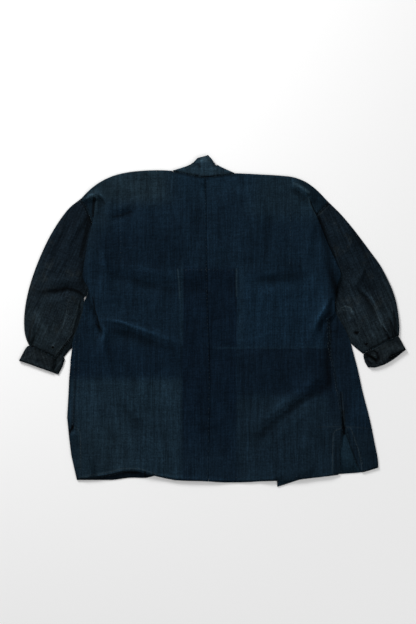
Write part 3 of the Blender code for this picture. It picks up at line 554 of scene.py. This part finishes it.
    def close(self, roughness, sheen, sheen_colour):
        """Joins colour, bump and roughness to the shader and gives the finished material."""
        bump = self.node("Bump")
        bump.inputs["Strength"].default_value = 0.9
        bump.inputs["Distance"].default_value = 0.0005
        self.put(bump.inputs["Height"], self.height)
        self.put(self.shader.inputs["Normal"], bump.outputs["Normal"])
        self.put(self.shader.inputs["Base Color"], self.colour)
        grain = self.noise((3.3, 5, 3.3), 2.0)
        self.put(self.shader.inputs["Roughness"],
                 self.ramp(grain, 0.2, 0.8, roughness - 0.08, min(1, roughness + 0.06)))
        self.shader.inputs["Specular IOR Level"].default_value = 0.03
        self.shader.inputs["Sheen Weight"].default_value = sheen
        self.shader.inputs["Sheen Roughness"].default_value = 0.45
        self.shader.inputs["Sheen Tint"].default_value = (*sheen_colour, 1)
        return self.material


CENTRE_SEAM = -12  # its x in mm: the two halves of the back meet here
LEFT_ZONES_END, RIGHT_ZONES_START = 40, -60  # x in mm, with room for the zones' soft edges
# Pale lines on fold edges, seams, darning and hole rims: wear and painted highlight.
WEAR_AND_HIGHLIGHT_LINE = (0.0220, 0.0330, 0.0385)
SHADOW = (0.0012, 0.0020, 0.0028)
# Paler edges and folds on the body: wear and painted highlight.
LIGHTER_WEAR_AND_HIGHLIGHT = (0.0160, 0.0310, 0.0420)
DEEP = (0.0032, 0.0088, 0.0145)
BODY_ZONES = [
    # x from, x to, y from, y to, softness across, softness along; colour; how much of it
    ((-400, -100, 297, 420, 45, 26), (0.0088, 0.0186, 0.0262), 0.88),
    ((-340, -255, 165, 330, 26, 50), (0.0066, 0.0149, 0.0218), 0.5),
    ((95, 400, 262, 420, 50, 34), (0.007, 0.0172, 0.0266), 0.8),
    ((-100, 95, 300, 400, 40, 34), (0.005, 0.0144, 0.0256), 0.85),
    ((-400, -75, -135, -62, 26, 14), (0.0032, 0.0097, 0.019), 0.8),
    ((-300, -60, 120, 232, 40, 30), (0.0026, 0.0078, 0.015), 0.9),
    ((-360, -76, -420, -146, 16, 14), (0.008, 0.0192, 0.03), 0.85),
    ((-345, -200, -420, -250, 40, 60), (0.0086, 0.0182, 0.026), 0.45),
    ((62, 80, -60, 128, 5, 22), (0.0058, 0.016, 0.0284), 0.75),
    ((80, 285, -60, 118, 22, 24), (0.0048, 0.015, 0.0282), 0.75),
    ((62, 305, -188, -68, 6, 4), (0.0027, 0.0076, 0.0149), 0.85),
    ((55, 330, -420, -190, 22, 26), (0.0058, 0.014, 0.0228), 0.85),
    ((290, 345, -240, 10, 8, 22), (0.0031, 0.0079, 0.0147), 0.75),
    ((300, 420, -420, -275, 16, 20), (0.0045, 0.0105, 0.0169), 0.7),
    ((-80, 64, -420, -325, 6, 45), (0.0056, 0.0142, 0.0246), 0.9),
]
BODY_LINES = [
    # Pale edges of the dark length, wear and painted highlight, and painted shadow in the tucks and pleats
    # beside the side seams.
    ([(-87.3, 130), (-83.8, 95), (-82.3, 57.5)], 1.6, LIGHTER_WEAR_AND_HIGHLIGHT, 0.55),
    ([(60.2, 130), (59.8, 100), (60.2, 62.5)], 2.0, LIGHTER_WEAR_AND_HIGHLIGHT, 0.5),
    ([(-300, 60), (-293.8, 27.5), (-285, -2.5), (-282.5, -17.5), (-291.2, -7.5)], 1.5, SHADOW, 0.75),
    ([(312.5, 22.5), (293.8, -7.5), (282.5, -30), (280, -60)], 1.5, SHADOW, 0.45),
    # Left shoulder: the dark wing before the armhole, and the hook of the fold, with painted shadow beside it
    # and pale fold edges, wear and painted highlight.
    ([(-331.2, 312.5), (-316.2, 300), (-303.8, 285)], 12, DEEP, 0.9),
    ([(-288.8, 337.5), (-311.2, 327.5), (-331.2, 315)], 5, DEEP, 0.45),
    ([(-290, 302.5), (-293.8, 287.5), (-295, 270)], 6, LIGHTER_WEAR_AND_HIGHLIGHT, 0.22),
    ([(-321.2, 316.2), (-301.2, 321.2), (-286.2, 317.5), (-276.2, 305), (-270, 292.5)], 3.2, SHADOW, 0.42),
    ([(-295, 307.5), (-297.8, 290), (-299.2, 262.5)], 3.2, SHADOW, 0.8),
    ([(-313.8, 307.5), (-301.2, 313), (-291.2, 311.2), (-287.5, 305)], 2.6, LIGHTER_WEAR_AND_HIGHLIGHT, 0.6),
    ([(-248.8, 260), (-226.2, 265), (-203.8, 273.8)], 2.8, SHADOW, 0.4),
    # Right shoulder: the fold over the darker wing, with painted shadow under the fold and along the armhole
    # seam, and pale fold edges, wear and painted highlight.
    ([(233.8, 347.5), (258.8, 315), (273.8, 287.5)], 17, DEEP, 0.85),
    ([(203.8, 343.8), (226.2, 333.8), (241.2, 320)], 3.5, LIGHTER_WEAR_AND_HIGHLIGHT, 0.5),
    ([(241.2, 305), (251.2, 282.5), (262.5, 262.5)], 3.2, SHADOW, 0.6),
    ([(238.8, 307.5), (247.5, 285), (260, 261.2)], 1.4, LIGHTER_WEAR_AND_HIGHLIGHT, 0.5),
    ([(243.8, 320), (237.5, 308.8), (221.2, 300)], 2.6, SHADOW, 0.4),
    ([(261.2, 267), (291.2, 292.5)], 1.6, SHADOW, 0.8),
    # Right vent: the side seam above it, painted shadow in its opening and along the flap edges, and the two
    # facings with pale edges, wear and painted highlight.
    ([(263.8, -265), (308.8, -263.5), (346.2, -264.5), (391.2, -268.8)], 1.4, WEAR_AND_HIGHLIGHT_LINE, 0.2),
    ([(320.3, -177.5), (322.8, -212.5), (326.8, -262.5)], 1.7, SHADOW, 0.8),
    ([(324.2, -177.5), (326.8, -212.5), (330.8, -262.5)], 1.0, WEAR_AND_HIGHLIGHT_LINE, 0.35),
    ([(322.5, -267.5), (306.2, -273.8), (302.8, -282.5), (300.8, -317.5),
      (300.3, -382.5)], 1.1, WEAR_AND_HIGHLIGHT_LINE, 0.38),
    ([(333.8, -267.5), (345, -266.2), (353.8, -290), (363.8, -317.5), (371.2, -352.5),
      (373.8, -372.5)], 1.1, WEAR_AND_HIGHLIGHT_LINE, 0.38),
    ([(333.8, -282.5), (343.8, -310), (356.2, -342.5), (368.8, -375)], 1.5, SHADOW, 0.5),
    ([(328.8, -265), (330.3, -282.5)], 2.6, SHADOW, 0.9),
    # Left side: the notch of its vent in painted shadow, the facing, the lifted hem with its pale edge, wear
    # and painted highlight, and painted shadow under it.
    ([(-346.2, -292.5), (-340.2, -337.5)], 10, DEEP, 0.6),
    ([(-349.8, -263.8), (-356.2, -277.5)], 2.2, SHADOW, 0.9),
    ([(-348.8, -265), (-336.2, -270), (-331.2, -282.5), (-329.8, -322.5),
      (-328.8, -372.5)], 1.2, WEAR_AND_HIGHLIGHT_LINE, 0.32),
    ([(-333.8, -391.5), (-266.2, -379), (-226.2, -368.5), (-181.2, -369), (-136.2, -384)], 1.2, WEAR_AND_HIGHLIGHT_LINE, 0.4),
    ([(-331.2, -397.5), (-266.2, -387.5), (-223.8, -377.5), (-186.2, -379)], 3.0, SHADOW, 0.7),
    ([(-168.8, -377.5), (-168.3, -395)], 2.2, SHADOW, 0.9),
]
# Each half has a finish of its own, alike in colour, as one material can't hold every line.
body_materials = {}
for side in ("left", "right"):
    finish = Finish("washed_indigo_body_" + side, (0.0038, 0.0110, 0.0204))
    finish.wander(7.0)
    for corners, colour, share in BODY_ZONES:
        if corners[0] < LEFT_ZONES_END if side == "left" else corners[1] > RIGHT_ZONES_START:
            finish.tint(finish.patch(*corners), colour, share)
    # The length that was covered and never faded, down the centre back, and its lit left edge.
    band = finish.times(finish.between(finish.x, -75, 60, 1.6),
                        finish.ramp(finish.wander_y, 124, 142, 1.0, 0.0))
    fading = finish.ramp(finish.wander_y, -380, -170, 0.32, 0.96)
    band = finish.times(band, fading)
    finish.tint(band, (0.0024, 0.0072, 0.0148))
    light_line = finish.times(finish.between(finish.x, -82, -73, 2.5),
                              finish.between(finish.wander_y, -60, 145, 26))
    finish.tint(light_line, (0.0061, 0.0166, 0.0279), 0.7)
    cross_line = finish.times(finish.between(finish.wander_y, -69, -64, 1.8),
                              finish.between(finish.x, 5, 285, 12))
    finish.tint(cross_line, (0.0056, 0.0153, 0.0260), 0.6)
    if side == "right":
        # The layer seen inside the side vent, and painted shadow in the gap over it.
        under = finish.times(finish.ramp(finish.z, 2.6, 1.9),
                             finish.between(finish.x, 250, 420, 10))
        under = finish.times(under, finish.ramp(finish.y, -262, -275))
        finish.tint(under, (0.0072, 0.0190, 0.0300), 0.9)
        gap = finish.times(finish.between(finish.y, -286, -222, 4),
                           finish.between(finish.x, 322.5, 330.5, 1.2))
        finish.tint(gap, (0.0012, 0.0022, 0.0034), 0.85)
    else:
        # The shadow under the lifted hem.
        hollow = finish.times(finish.ramp(finish.z, 2.6, 1.9),
                              finish.between(finish.x, -340, -140, 8))
        hollow = finish.times(hollow, finish.ramp(finish.y, -348, -362))
        finish.tint(hollow, (0.0014, 0.0036, 0.0064), 0.85)
    finish.draw_side(BODY_LINES, side, CENTRE_SEAM)
    finish.cloth(0.9, 0.42)
    body_materials[side] = finish.close(0.84, 0.12, (0.10, 0.14, 0.18))

body_left = soft_copy("body_left", 1.2, 2.6, 2)
body_right = soft_copy("body_right", 1.2, 2.6, 2)
for piece, side in ((body_left, "left"), (body_right, "right")):
    dress(piece, "body_" + side, body_materials[side])
lie_along(body_left, [
    (60, -311.2, -311.2), (45, -316.2, -319.8), (15.8, -326.8, -330.2), (-5, -333.2, -335.5),
    (-32.5, -341.2, -343.2), (-55, -346.5, -350.5), (-81.2, -351.2, -352.8), (-110, -353.8, -353.8)], 60)
lie_along(body_right, [
    (52.5, 298.8, 298.8), (26.2, 304.5, 305.3), (12.5, 312, 311.8), (-7.5, 323.5, 322.8),
    (-20, 330.3, 330.3), (-42.5, 341.2, 342), (-72.5, 350.8, 350.8)], 60)


# The sleeves: one tube each of the same cotton, more faded and greyer than the body, set into
# the armhole with the spare length pleated into the cuff. Their warp runs down the sleeve.
SLEEVE_LINES = [
    # Left: the slit above the cuff, the underarm seam, the pleat, the darning, the hole and its rim;
    # painted shadow in the slit, pleat and hole and beside the body, and pale edges of wear and painted
    # highlight.
    ([(-346.2, -30), (-355, -42.5), (-366.2, -57.5), (-381.2, -77.5), (-388.8, -92.5)], 1.4, SHADOW, 0.9),
    ([(-350, -31.2), (-361.2, -45), (-373.8, -60), (-388.8, -80)], 1.1, WEAR_AND_HIGHLIGHT_LINE, 0.45),
    ([(-333.8, 52.5), (-340, 22.5), (-347.5, -7.5), (-353.8, -30)], 1.2, WEAR_AND_HIGHLIGHT_LINE, 0.4),
    ([(-328.8, 57.5), (-335, 22.5), (-342.5, -7.5), (-347.5, -27.5)], 1.1, SHADOW, 0.7),
    ([(-456.2, -20), (-459.8, -37.5), (-461.2, -55)], 1.2, SHADOW, 0.75),
    ([(-446.2, 7.5), (-452.5, -10), (-454.8, -25)], 1.0, WEAR_AND_HIGHLIGHT_LINE, 0.35),
    ([(-360, 55), (-362.5, 35), (-366.2, 17.5), (-371.2, -2.5), (-375, -20)], 1.3, WEAR_AND_HIGHLIGHT_LINE, 0.34),
    ([(-355, 52.5), (-358.8, 30), (-362.5, 12.5)], 1.0, WEAR_AND_HIGHLIGHT_LINE, 0.22),
    ([(-441.2, 22.5), (-448.8, 0), (-451.2, -22.5)], 1.3, WEAR_AND_HIGHLIGHT_LINE, 0.35),
    ([(-399.2, -65.5), (-399, -65.8)], 5.0, WEAR_AND_HIGHLIGHT_LINE, 0.85),
    ([(-399.2, -65.5), (-399, -65.8)], 2.9, SHADOW, 1.0),
    ([(-301.2, 267.5), (-310, 242.5), (-320, 202.5), (-330, 162.5)], 5.0, SHADOW, 0.6),
    ([(-328.8, 305), (-316.2, 290), (-305, 272.5)], 1.4, SHADOW, 0.7),
    # Right: painted shadow in the hollow beside the body, in the pleats and in the two holes; the seam and
    # the folds paler, wear and painted highlight; the darned place.
    ([(263.8, 260), (283.8, 217.5), (303.8, 160)], 5.0, SHADOW, 0.6),
    ([(270, 268.8), (292.5, 288.8)], 1.6, WEAR_AND_HIGHLIGHT_LINE, 0.3),
    ([(385.5, 58.8), (405.3, 32.5), (421.8, -7.5), (443.8, -32.5)], 1.3, WEAR_AND_HIGHLIGHT_LINE, 0.4),
    ([(396.2, 62.5), (416.2, 42.5), (431.2, 12.5)], 1.0, WEAR_AND_HIGHLIGHT_LINE, 0.22),
    ([(442.5, 57.5), (453.8, 7.5), (458.8, -22.5)], 1.0, WEAR_AND_HIGHLIGHT_LINE, 0.4),
    ([(446.2, -2.5), (455.3, -32.5)], 1.2, SHADOW, 0.75),
    ([(457.5, 7.5), (461.2, -32.5)], 1.2, SHADOW, 0.75),
    ([(423.8, -10), (441.2, -37.5)], 1.1, SHADOW, 0.6),
    ([(321.2, 32.5), (333.8, 37.5), (346.2, 32.5), (347.5, 22.5)], 1.4, WEAR_AND_HIGHLIGHT_LINE, 0.55),
    ([(312.5, 22.5), (321.2, 28.8), (341.2, 25)], 1.0, WEAR_AND_HIGHLIGHT_LINE, 0.35),
    ([(362.8, -28.5), (363, -28.8)], 4.4, WEAR_AND_HIGHLIGHT_LINE, 0.35),
    ([(362.8, -28.5), (363, -28.8)], 3.4, SHADOW, 1.0),
    ([(387, -57), (387.2, -57.2)], 3.6, WEAR_AND_HIGHLIGHT_LINE, 0.45),
    ([(387, -57), (387.2, -57.2)], 2.2, SHADOW, 1.0),
]
sleeve_materials = {}
for side, turn in (("left", -0.42), ("right", 0.42)):
    finish = Finish("faded_indigo_sleeve_" + side, (0.0041, 0.0082, 0.0128))
    finish.wander(14.0)
    finish.tint(finish.ramp(finish.wander_y, 190, -60), (0.0078, 0.0130, 0.0166), 0.9)
    out = finish.math("ABSOLUTE", finish.wander_x)
    finish.tint(finish.ramp(out, 395, 470), (0.0084, 0.0138, 0.0174), 0.5)
    scuffs = finish.noise((33, 33, 33), 4.0, 0.65)
    finish.tint(finish.ramp(scuffs, 0.54, 0.7), (0.0112, 0.0152, 0.0170), 0.6)
    finish.tint(finish.ramp(scuffs, 0.44, 0.32), (0.0032, 0.0060, 0.0094), 0.5)
    finish.draw_side(SLEEVE_LINES, side)
    finish.cloth(0.9, 0.55, turn)
    sleeve_materials[side] = finish.close(0.88, 0.12, (0.12, 0.14, 0.15))
sleeve_left = soft_copy("sleeve_left", 1.2)
sleeve_right = soft_copy("sleeve_right", 1.2)
for piece, side in ((sleeve_left, "left"), (sleeve_right, "right")):
    dress(piece, "sleeve_" + side, sleeve_materials[side])
lie_along(sleeve_left, [
    (60, -325, -325), (45, -332.5, -326.2), (20.8, -342.8, -331.2), (-5, -348.2, -337),
    (-32.5, -352.5, -344.5), (-54.5, -356, -352.2), (-77.5, -366.2, -366.2)], 50)
lie_along(sleeve_right, [
    (52.5, 305.8, 305.8), (26.2, 312.2, 307), (12.5, 320.8, 313.2), (-7.5, 331.2, 324.2),
    (-20, 337.5, 331.8), (-33.5, 345, 339.2), (-52.5, 357.5, 349.7), (-72.5, 371.2, 367.8),
    (-92.5, 383.8, 383.8)], 50)


# The cuffs: a doubled straight band of denser cotton sewn to the end of each sleeve, its fold at
# the wrist grey with wear and its ends left open beside the slit.
finish = Finish("worn_indigo_cuff", (0.0072, 0.0108, 0.0132))
finish.wander(8.0)
cuff_wear = finish.noise((16, 16, 16), 4.0, 0.65)
finish.tint(finish.ramp(cuff_wear, 0.52, 0.66), (0.0140, 0.0198, 0.0232), 0.6)
finish.tint(finish.ramp(cuff_wear, 0.45, 0.34), (0.0028, 0.0051, 0.0078), 0.7)
# Painted shadow in the crumples of the right cuff and inside its open end, and pale edges, wear and painted
# highlight.
for points in ([(377.5, -82.5), (391.2, -78.5), (403.8, -74), (412.5, -80), (413.8, -90), (406.2, -98.8)],
               [(381.2, -92.5), (393.8, -87.5), (403.8, -92.5)], [(388.8, -100), (397.5, -107.5)]):
    finish.draw(points, 1.7, SHADOW, 0.85)
finish.draw([(390.3, -88.5), (398.8, -83.5), (407.5, -87.5)], 1.0, WEAR_AND_HIGHLIGHT_LINE, 0.4)
finish.draw([(445, -91.5), (448.8, -83.8), (463.8, -82.5), (481.2, -74)], 1.6, SHADOW, 0.9)
finish.draw([(-465, -62.5), (-466.2, -77.5), (-470, -92.5)], 1.1, WEAR_AND_HIGHLIGHT_LINE, 0.4)
finish.draw([(-373.8, -93.8), (-386.2, -110), (-398.8, -127.5)], 1.1, WEAR_AND_HIGHLIGHT_LINE, 0.45)
finish.cloth(0.8, 0.5, 0.35)
cuff_material = finish.close(0.88, 0.12, (0.12, 0.14, 0.15))
cuff_left = soft_copy("cuff_left", 2.2)
cuff_right = soft_copy("cuff_right", 2.2)
dress(cuff_left, "cuff_left", cuff_material)
dress(cuff_right, "cuff_right", cuff_material)


# The collar band: one long strip, folded double, sewn round the neck and down both fronts.
# Its fold at the back of the neck is the most worn and the palest cloth of the jacket.
finish = Finish("worn_indigo_band", (0.0064, 0.0158, 0.0250))
finish.wander(6.0)
finish.tint(finish.ramp(finish.wander_y, 330, 372), (0.0098, 0.0219, 0.0328), 0.9)
peak = finish.times(finish.between(finish.wander_x, -32, 2, 9),
                    finish.ramp(finish.wander_y, 396, 408))
finish.tint(peak, (0.0192, 0.0391, 0.0549), 0.8)
# Painted shadow along the neck seam.
finish.draw([(-96.2, 375), (-71.2, 366.5), (-23.8, 359), (23.8, 363.5), (53.8, 368.5)],
            1.3, SHADOW, 0.9)
finish.draw([(-38.8, 401.2), (-23.8, 405), (-11.2, 402.5)], 5.5, (0.0250, 0.0470, 0.0620), 0.36)
finish.cloth(0.9, 0.45)
band_material = finish.close(0.84, 0.12, (0.12, 0.16, 0.2))
collar = soft_copy("collar_band", 1.8)
dress(collar, "collar_band", band_material)
lie_along(collar, [
    (413.8, -27.5, -28.3), (408.8, -31.7, -35.2), (402.5, -36.2, -41.5),
    (394.2, -42.3, -50.2), (387.5, -56.2, -59.8), (377.5, -81.2, -81.2)], 14)
lie_along(collar, [
    (410, -5, -5), (402.5, -3, -0.2), (392.8, 1, 5.5), (387.5, 8.8, 11.7), (377.5, 26.2, 26.2)], 14)


# The hand stitching: running stitches in dark and pale indigo thread, each row a length of joined
# stitches lying on the cloth, uneven as hand sewing is. They hold the seams, the hems, the facings
# of the side vents and the lining that strengthens the shoulders.
finish = Finish("indigo_thread", (0.0210, 0.0330, 0.0420))
finish.wander(3.0)
thread_wear = finish.noise((20, 20, 20), 3.0, 0.6)
finish.tint(finish.ramp(thread_wear, 0.5, 0.66), (0.0400, 0.0520, 0.0580), 0.8)
finish.cloth(0.5, 0.3, 0.8, edged=False)
thread_material = finish.close(0.7, 0.15, (0.15, 0.18, 0.2))

garment = (body_left, body_right, sleeve_left, sleeve_right, cuff_left, cuff_right, collar)
lookup = []
for piece in garment:
    mesh = bmesh.new()
    mesh.from_mesh(piece.data)
    lookup.append(BVHTree.FromBMesh(mesh))
    mesh.free()


def on_top(x, y):
    """The highest point of the jacket at x, y in mm, and the way the cloth faces there."""
    best = None
    for tree in lookup:
        place, normal, index, away = tree.ray_cast(Vector((x * MM, y * MM, 0.1)), Vector((0, 0, -1)))
        if place is not None and (best is None or place.z > best[0].z):
            best = (place, normal)
    return best


def stitch_row(points, length, gap, seed):
    """Places of the stitches along a row of points in mm: centre, heading, length."""
    chance = np.random.default_rng(seed)
    places = []
    path = [np.array(point, float) for point in points]
    lengths = [np.hypot(*(b - a)) for a, b in zip(path, path[1:])]
    total = sum(lengths)
    run = chance.uniform(0, gap)
    while run < total:
        own = length * chance.uniform(0.7, 1.3)
        at, index = run + own / 2, 0
        while index < len(lengths) - 1 and at > lengths[index]:
            at -= lengths[index]
            index += 1
        heading = (path[index + 1] - path[index]) / lengths[index]
        if chance.uniform() > 0.06:
            centre = path[index] + heading * at
            centre += np.array((-heading[1], heading[0])) * chance.normal(0, 0.35)
            places.append((*centre, math.atan2(heading[1], heading[0]) + chance.normal(0, 0.06), own))
        run += own + gap * chance.uniform(0.75, 1.3)
    return places


bpy.ops.mesh.primitive_uv_sphere_add(segments=6, ring_count=4, radius=0.5)
stitch = bpy.context.object
stitch.name = "one_stitch"
stitch_points = np.array([vertex.co[:] for vertex in stitch.data.vertices])[:, [2, 0, 1]]
stitch_faces = [list(face.vertices) for face in stitch.data.polygons]
bpy.data.objects.remove(stitch)


def new_piece(name, points, faces, material):
    """A piece of its own from points and faces, in one material."""
    mesh = bpy.data.meshes.new(name)
    mesh.from_pydata(points, [], faces)
    mesh.materials.append(material)
    piece = bpy.data.objects.new(name, mesh)
    scene.collection.objects.link(piece)
    return piece


def sew(name, rows, thick, length, gap, seed):
    """Sews rows of running stitches onto whatever cloth is on top."""
    points, faces = [], []
    for number, row in enumerate(rows):
        for x, y, heading, own in stitch_row(row, length, gap, seed + number):
            found = on_top(x, y)
            if found is None:
                continue
            place, normal = found
            along = Vector((math.cos(heading), math.sin(heading), 0))
            along = (along - normal * along.dot(normal)).normalized()
            across = normal.cross(along)
            start = sum(len(block) for block in points)
            block = (np.outer(stitch_points[:, 0] * own * MM, along)
                     + np.outer(stitch_points[:, 1] * thick * MM, across)
                     + np.outer(stitch_points[:, 2] * thick * 0.7 * MM, normal))
            points.append(block + np.array(place + normal * 0.12 * MM))
            faces += [[start + corner for corner in face] for face in stitch_faces]
    thread = new_piece(name, np.concatenate(points).tolist(), faces, thread_material)
    shaped = bmesh.new()
    shaped.from_mesh(thread.data)
    bmesh.ops.recalc_face_normals(shaped, faces=shaped.faces)
    shaped.to_mesh(thread.data)
    shaped.free()
    thread.data.shade_smooth()
    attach(thread, "root")
    return thread


centre_thread = sew("centre_seam_stitches", [
    [(-18.3, 360), (-16.2, 215), (-14, 52.5), (-8, -147.5), (-12.3, -395)]], 0.9, 3.4, 5.6, 11)
lining_thread_left = sew("shoulder_lining_stitches_left", [
    [(-229.5, 327.5), (-230.2, 237.5), (-228.8, 142.5)], [(-78.8, 127.5), (-16.2, 129)]],
    1.1, 3.0, 6.0, 23)
lining_thread_right = sew("shoulder_lining_stitches_right", [
    [(193.8, 342.5), (195.3, 240), (192.8, 140)], [(-11.2, 128.5), (66.2, 126.5)]], 1.0, 2.8, 6.4, 31)
side_thread_left = sew("side_seam_and_vent_stitches_left", [
    [(-332.5, -27.5), (-335, -147.5), (-340.2, -265)], [(-343.8, -47.5), (-346.2, -157.5), (-349.8, -262.5)],
    [(-349.8, -271), (-331.2, -276.2), (-328.8, -291.2), (-330, -322.5), (-331.2, -387.5)]],
    1.1, 3.4, 4.4, 41)
side_thread_right = sew("side_seam_and_vent_stitches_right", [
    [(286.2, 7.5), (289.2, -65), (305.8, -147.5), (317.8, -222.5)],
    [(318.8, -268.8), (306.2, -275), (301.2, -290), (299.7, -317.5), (298.8, -385)],
    [(343.8, -266.5), (348.8, -275), (358, -302.5), (370, -336.2), (375.5, -360)]], 1.3, 3.8, 3.2, 53)
hem_thread_left = sew("hem_stitches_left", [
    [(-326.2, -387.5), (-256.2, -377.5), (-198.8, -364), (-141.2, -379), (-81.2, -390),
     (-13.8, -391.5)]], 0.9, 2.8, 7.5, 61)
hem_thread_right = sew("hem_stitches_right", [
    [(-6.2, -392), (93.8, -391.5), (208.8, -388.5), (293.8, -381.5)]], 0.9, 2.8, 7.5, 67)
band_thread = sew("collar_seam_stitches", [
    [(-97.7, 381.5), (-83.8, 378.8), (-68.8, 373.5), (-46.2, 369), (-18.8, 365.2), (8.8, 368), (26.2, 370.8),
     (48.8, 373)], [(-21.2, 378.5), (-20.8, 367.5)]], 0.8, 2.6, 4.0, 71)
sleeve_thread_left = sew("armhole_and_darning_stitches_left", [
    [(-335.2, 300), (-322.8, 286.5), (-313.8, 262.5)],
    [(-366.2, 75), (-364.2, 22.5), (-365.2, -42.5)], [(-362.2, 62.5), (-359.8, 7.5), (-361.2, -50)],
    [(-357.8, 77.5), (-355.2, 15), (-356.5, -40)], [(-352.8, 52.5), (-351.2, -2.5), (-352.8, -32.5)],
    [(-381.2, 42.5), (-378.8, 2.5), (-380.2, -30)]], 1.0, 3.0, 4.2, 83)
sleeve_thread_right = sew("armhole_and_darning_stitches_right", [
    [(292.2, 290), (280.3, 277.5), (267.8, 266)],
    [(331.2, 147.5), (337.8, 92.5), (341.2, 50)], [(338.8, 132.5), (343.8, 82.5), (347.2, 37.5)],
    [(356.2, 7.5), (366.2, -15), (371.2, -40)], [(376.2, -42.5), (383.8, -57.5), (393.8, -62.5)]],
    1.0, 3.0, 4.2, 97)
cuff_thread_left = sew("cuff_stitches_left", [
    [(-457.8, -63.5), (-428.8, -73.5), (-397.8, -90)], [(-479.8, -95), (-448.8, -104.5), (-403.8, -123)],
    [(-353.8, -42.5), (-373.8, -67.5), (-392.2, -93.5)]], 1.0, 2.8, 2.8, 103)
cuff_thread_right = sew("cuff_stitches_right", [
    [(460.3, -41.5), (443.8, -47.5), (421.2, -61), (401.2, -72.5)],
    [(477.8, -75), (448.8, -87.5), (421.2, -100)]], 1.0, 2.8, 2.8, 109)


# The seam allowances: the turned-in edges of the same cloth, about 6 mm to each side of a seam.
# They are sewn down with it and lie flat underneath, so they keep the table from showing through.
def allowance(name, line, half, below, material):
    """A strip of cloth under a seam, following the cloth above it."""
    points = []
    for (ax, ay), (bx, by) in zip(line, line[1:]):
        steps = max(2, int(math.hypot(bx - ax, by - ay) / 12))
        points += [(ax + (bx - ax) * k / steps, ay + (by - ay) * k / steps) for k in range(steps)]
    points.append(line[-1])
    rows, faces = [], []
    for number, (x, y) in enumerate(points):
        before = points[max(0, number - 1)]
        after = points[min(len(points) - 1, number + 1)]
        heading = math.atan2(after[1] - before[1], after[0] - before[0])
        for side in (-1, 0, 1):
            px = x - math.sin(heading) * half * side
            py = y + math.cos(heading) * half * side
            found = on_top(x - math.sin(heading) * 5 * (side or 1), y + math.cos(heading) * 5 * (side or 1))
            level = min(found[0].z / MM, 14) if found else 4.0
            rows.append((px * MM, py * MM, max(1.9, level - below) * MM))
        if number:
            one = 3 * number
            faces += [(one - 3, one, one + 1, one - 2), (one - 2, one + 1, one + 2, one - 1)]
    strip = new_piece(name, rows, faces, material)
    bpy.context.view_layer.objects.active = strip
    strip.select_set(True)
    wall = strip.modifiers.new("wall", "SOLIDIFY")
    wall.thickness = 0.35 * MM
    wall.offset = 0
    bpy.ops.object.modifier_apply(modifier="wall")
    strip.select_set(False)
    strip.data.shade_smooth()
    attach(strip, "root")
    return strip


centre_allowance = allowance("centre_seam_allowance", [
    (-16.2, 358.8), (-14.8, 290), (-13.8, 215), (-12.5, 132.5), (-11.2, 52.5), (-8.3, -47.5), (-5, -147.5),
    (-7.3, -272.5), (-9.2, -392.5)], 7, 1.75, body_materials["left"])
armhole_allowance_left = allowance("armhole_seam_allowance_left", [
    (-330, 301.5), (-321.2, 292.5), (-314.8, 280), (-309.8, 265)], 6, 1.75, sleeve_materials["left"])
armhole_allowance_right = allowance("armhole_seam_allowance_right", [
    (286.2, 290), (276.2, 280), (265.3, 270)], 6, 1.75, sleeve_materials["right"])
neck_allowance = allowance("neck_seam_allowance", [
    (-93.8, 374), (-78.8, 370), (-63.8, 366), (-43.8, 362.5), (-21.2, 359.5), (-1.2, 360.5), (18.8, 363.5),
    (43.8, 366.5)], 4, 2.2, band_material)
cuff_allowance_left = allowance("cuff_seam_allowance_left", [
    (-456.2, -60.5), (-428.8, -72.5), (-401.2, -84.5), (-386.2, -86.2), (-373.8, -86.2)],
    5, 1.9, cuff_material)
cuff_allowance_right = allowance("cuff_seam_allowance_right", [
    (458.8, -38.3), (443.8, -43), (418.8, -56.7), (400.3, -66)], 5, 1.9, cuff_material)
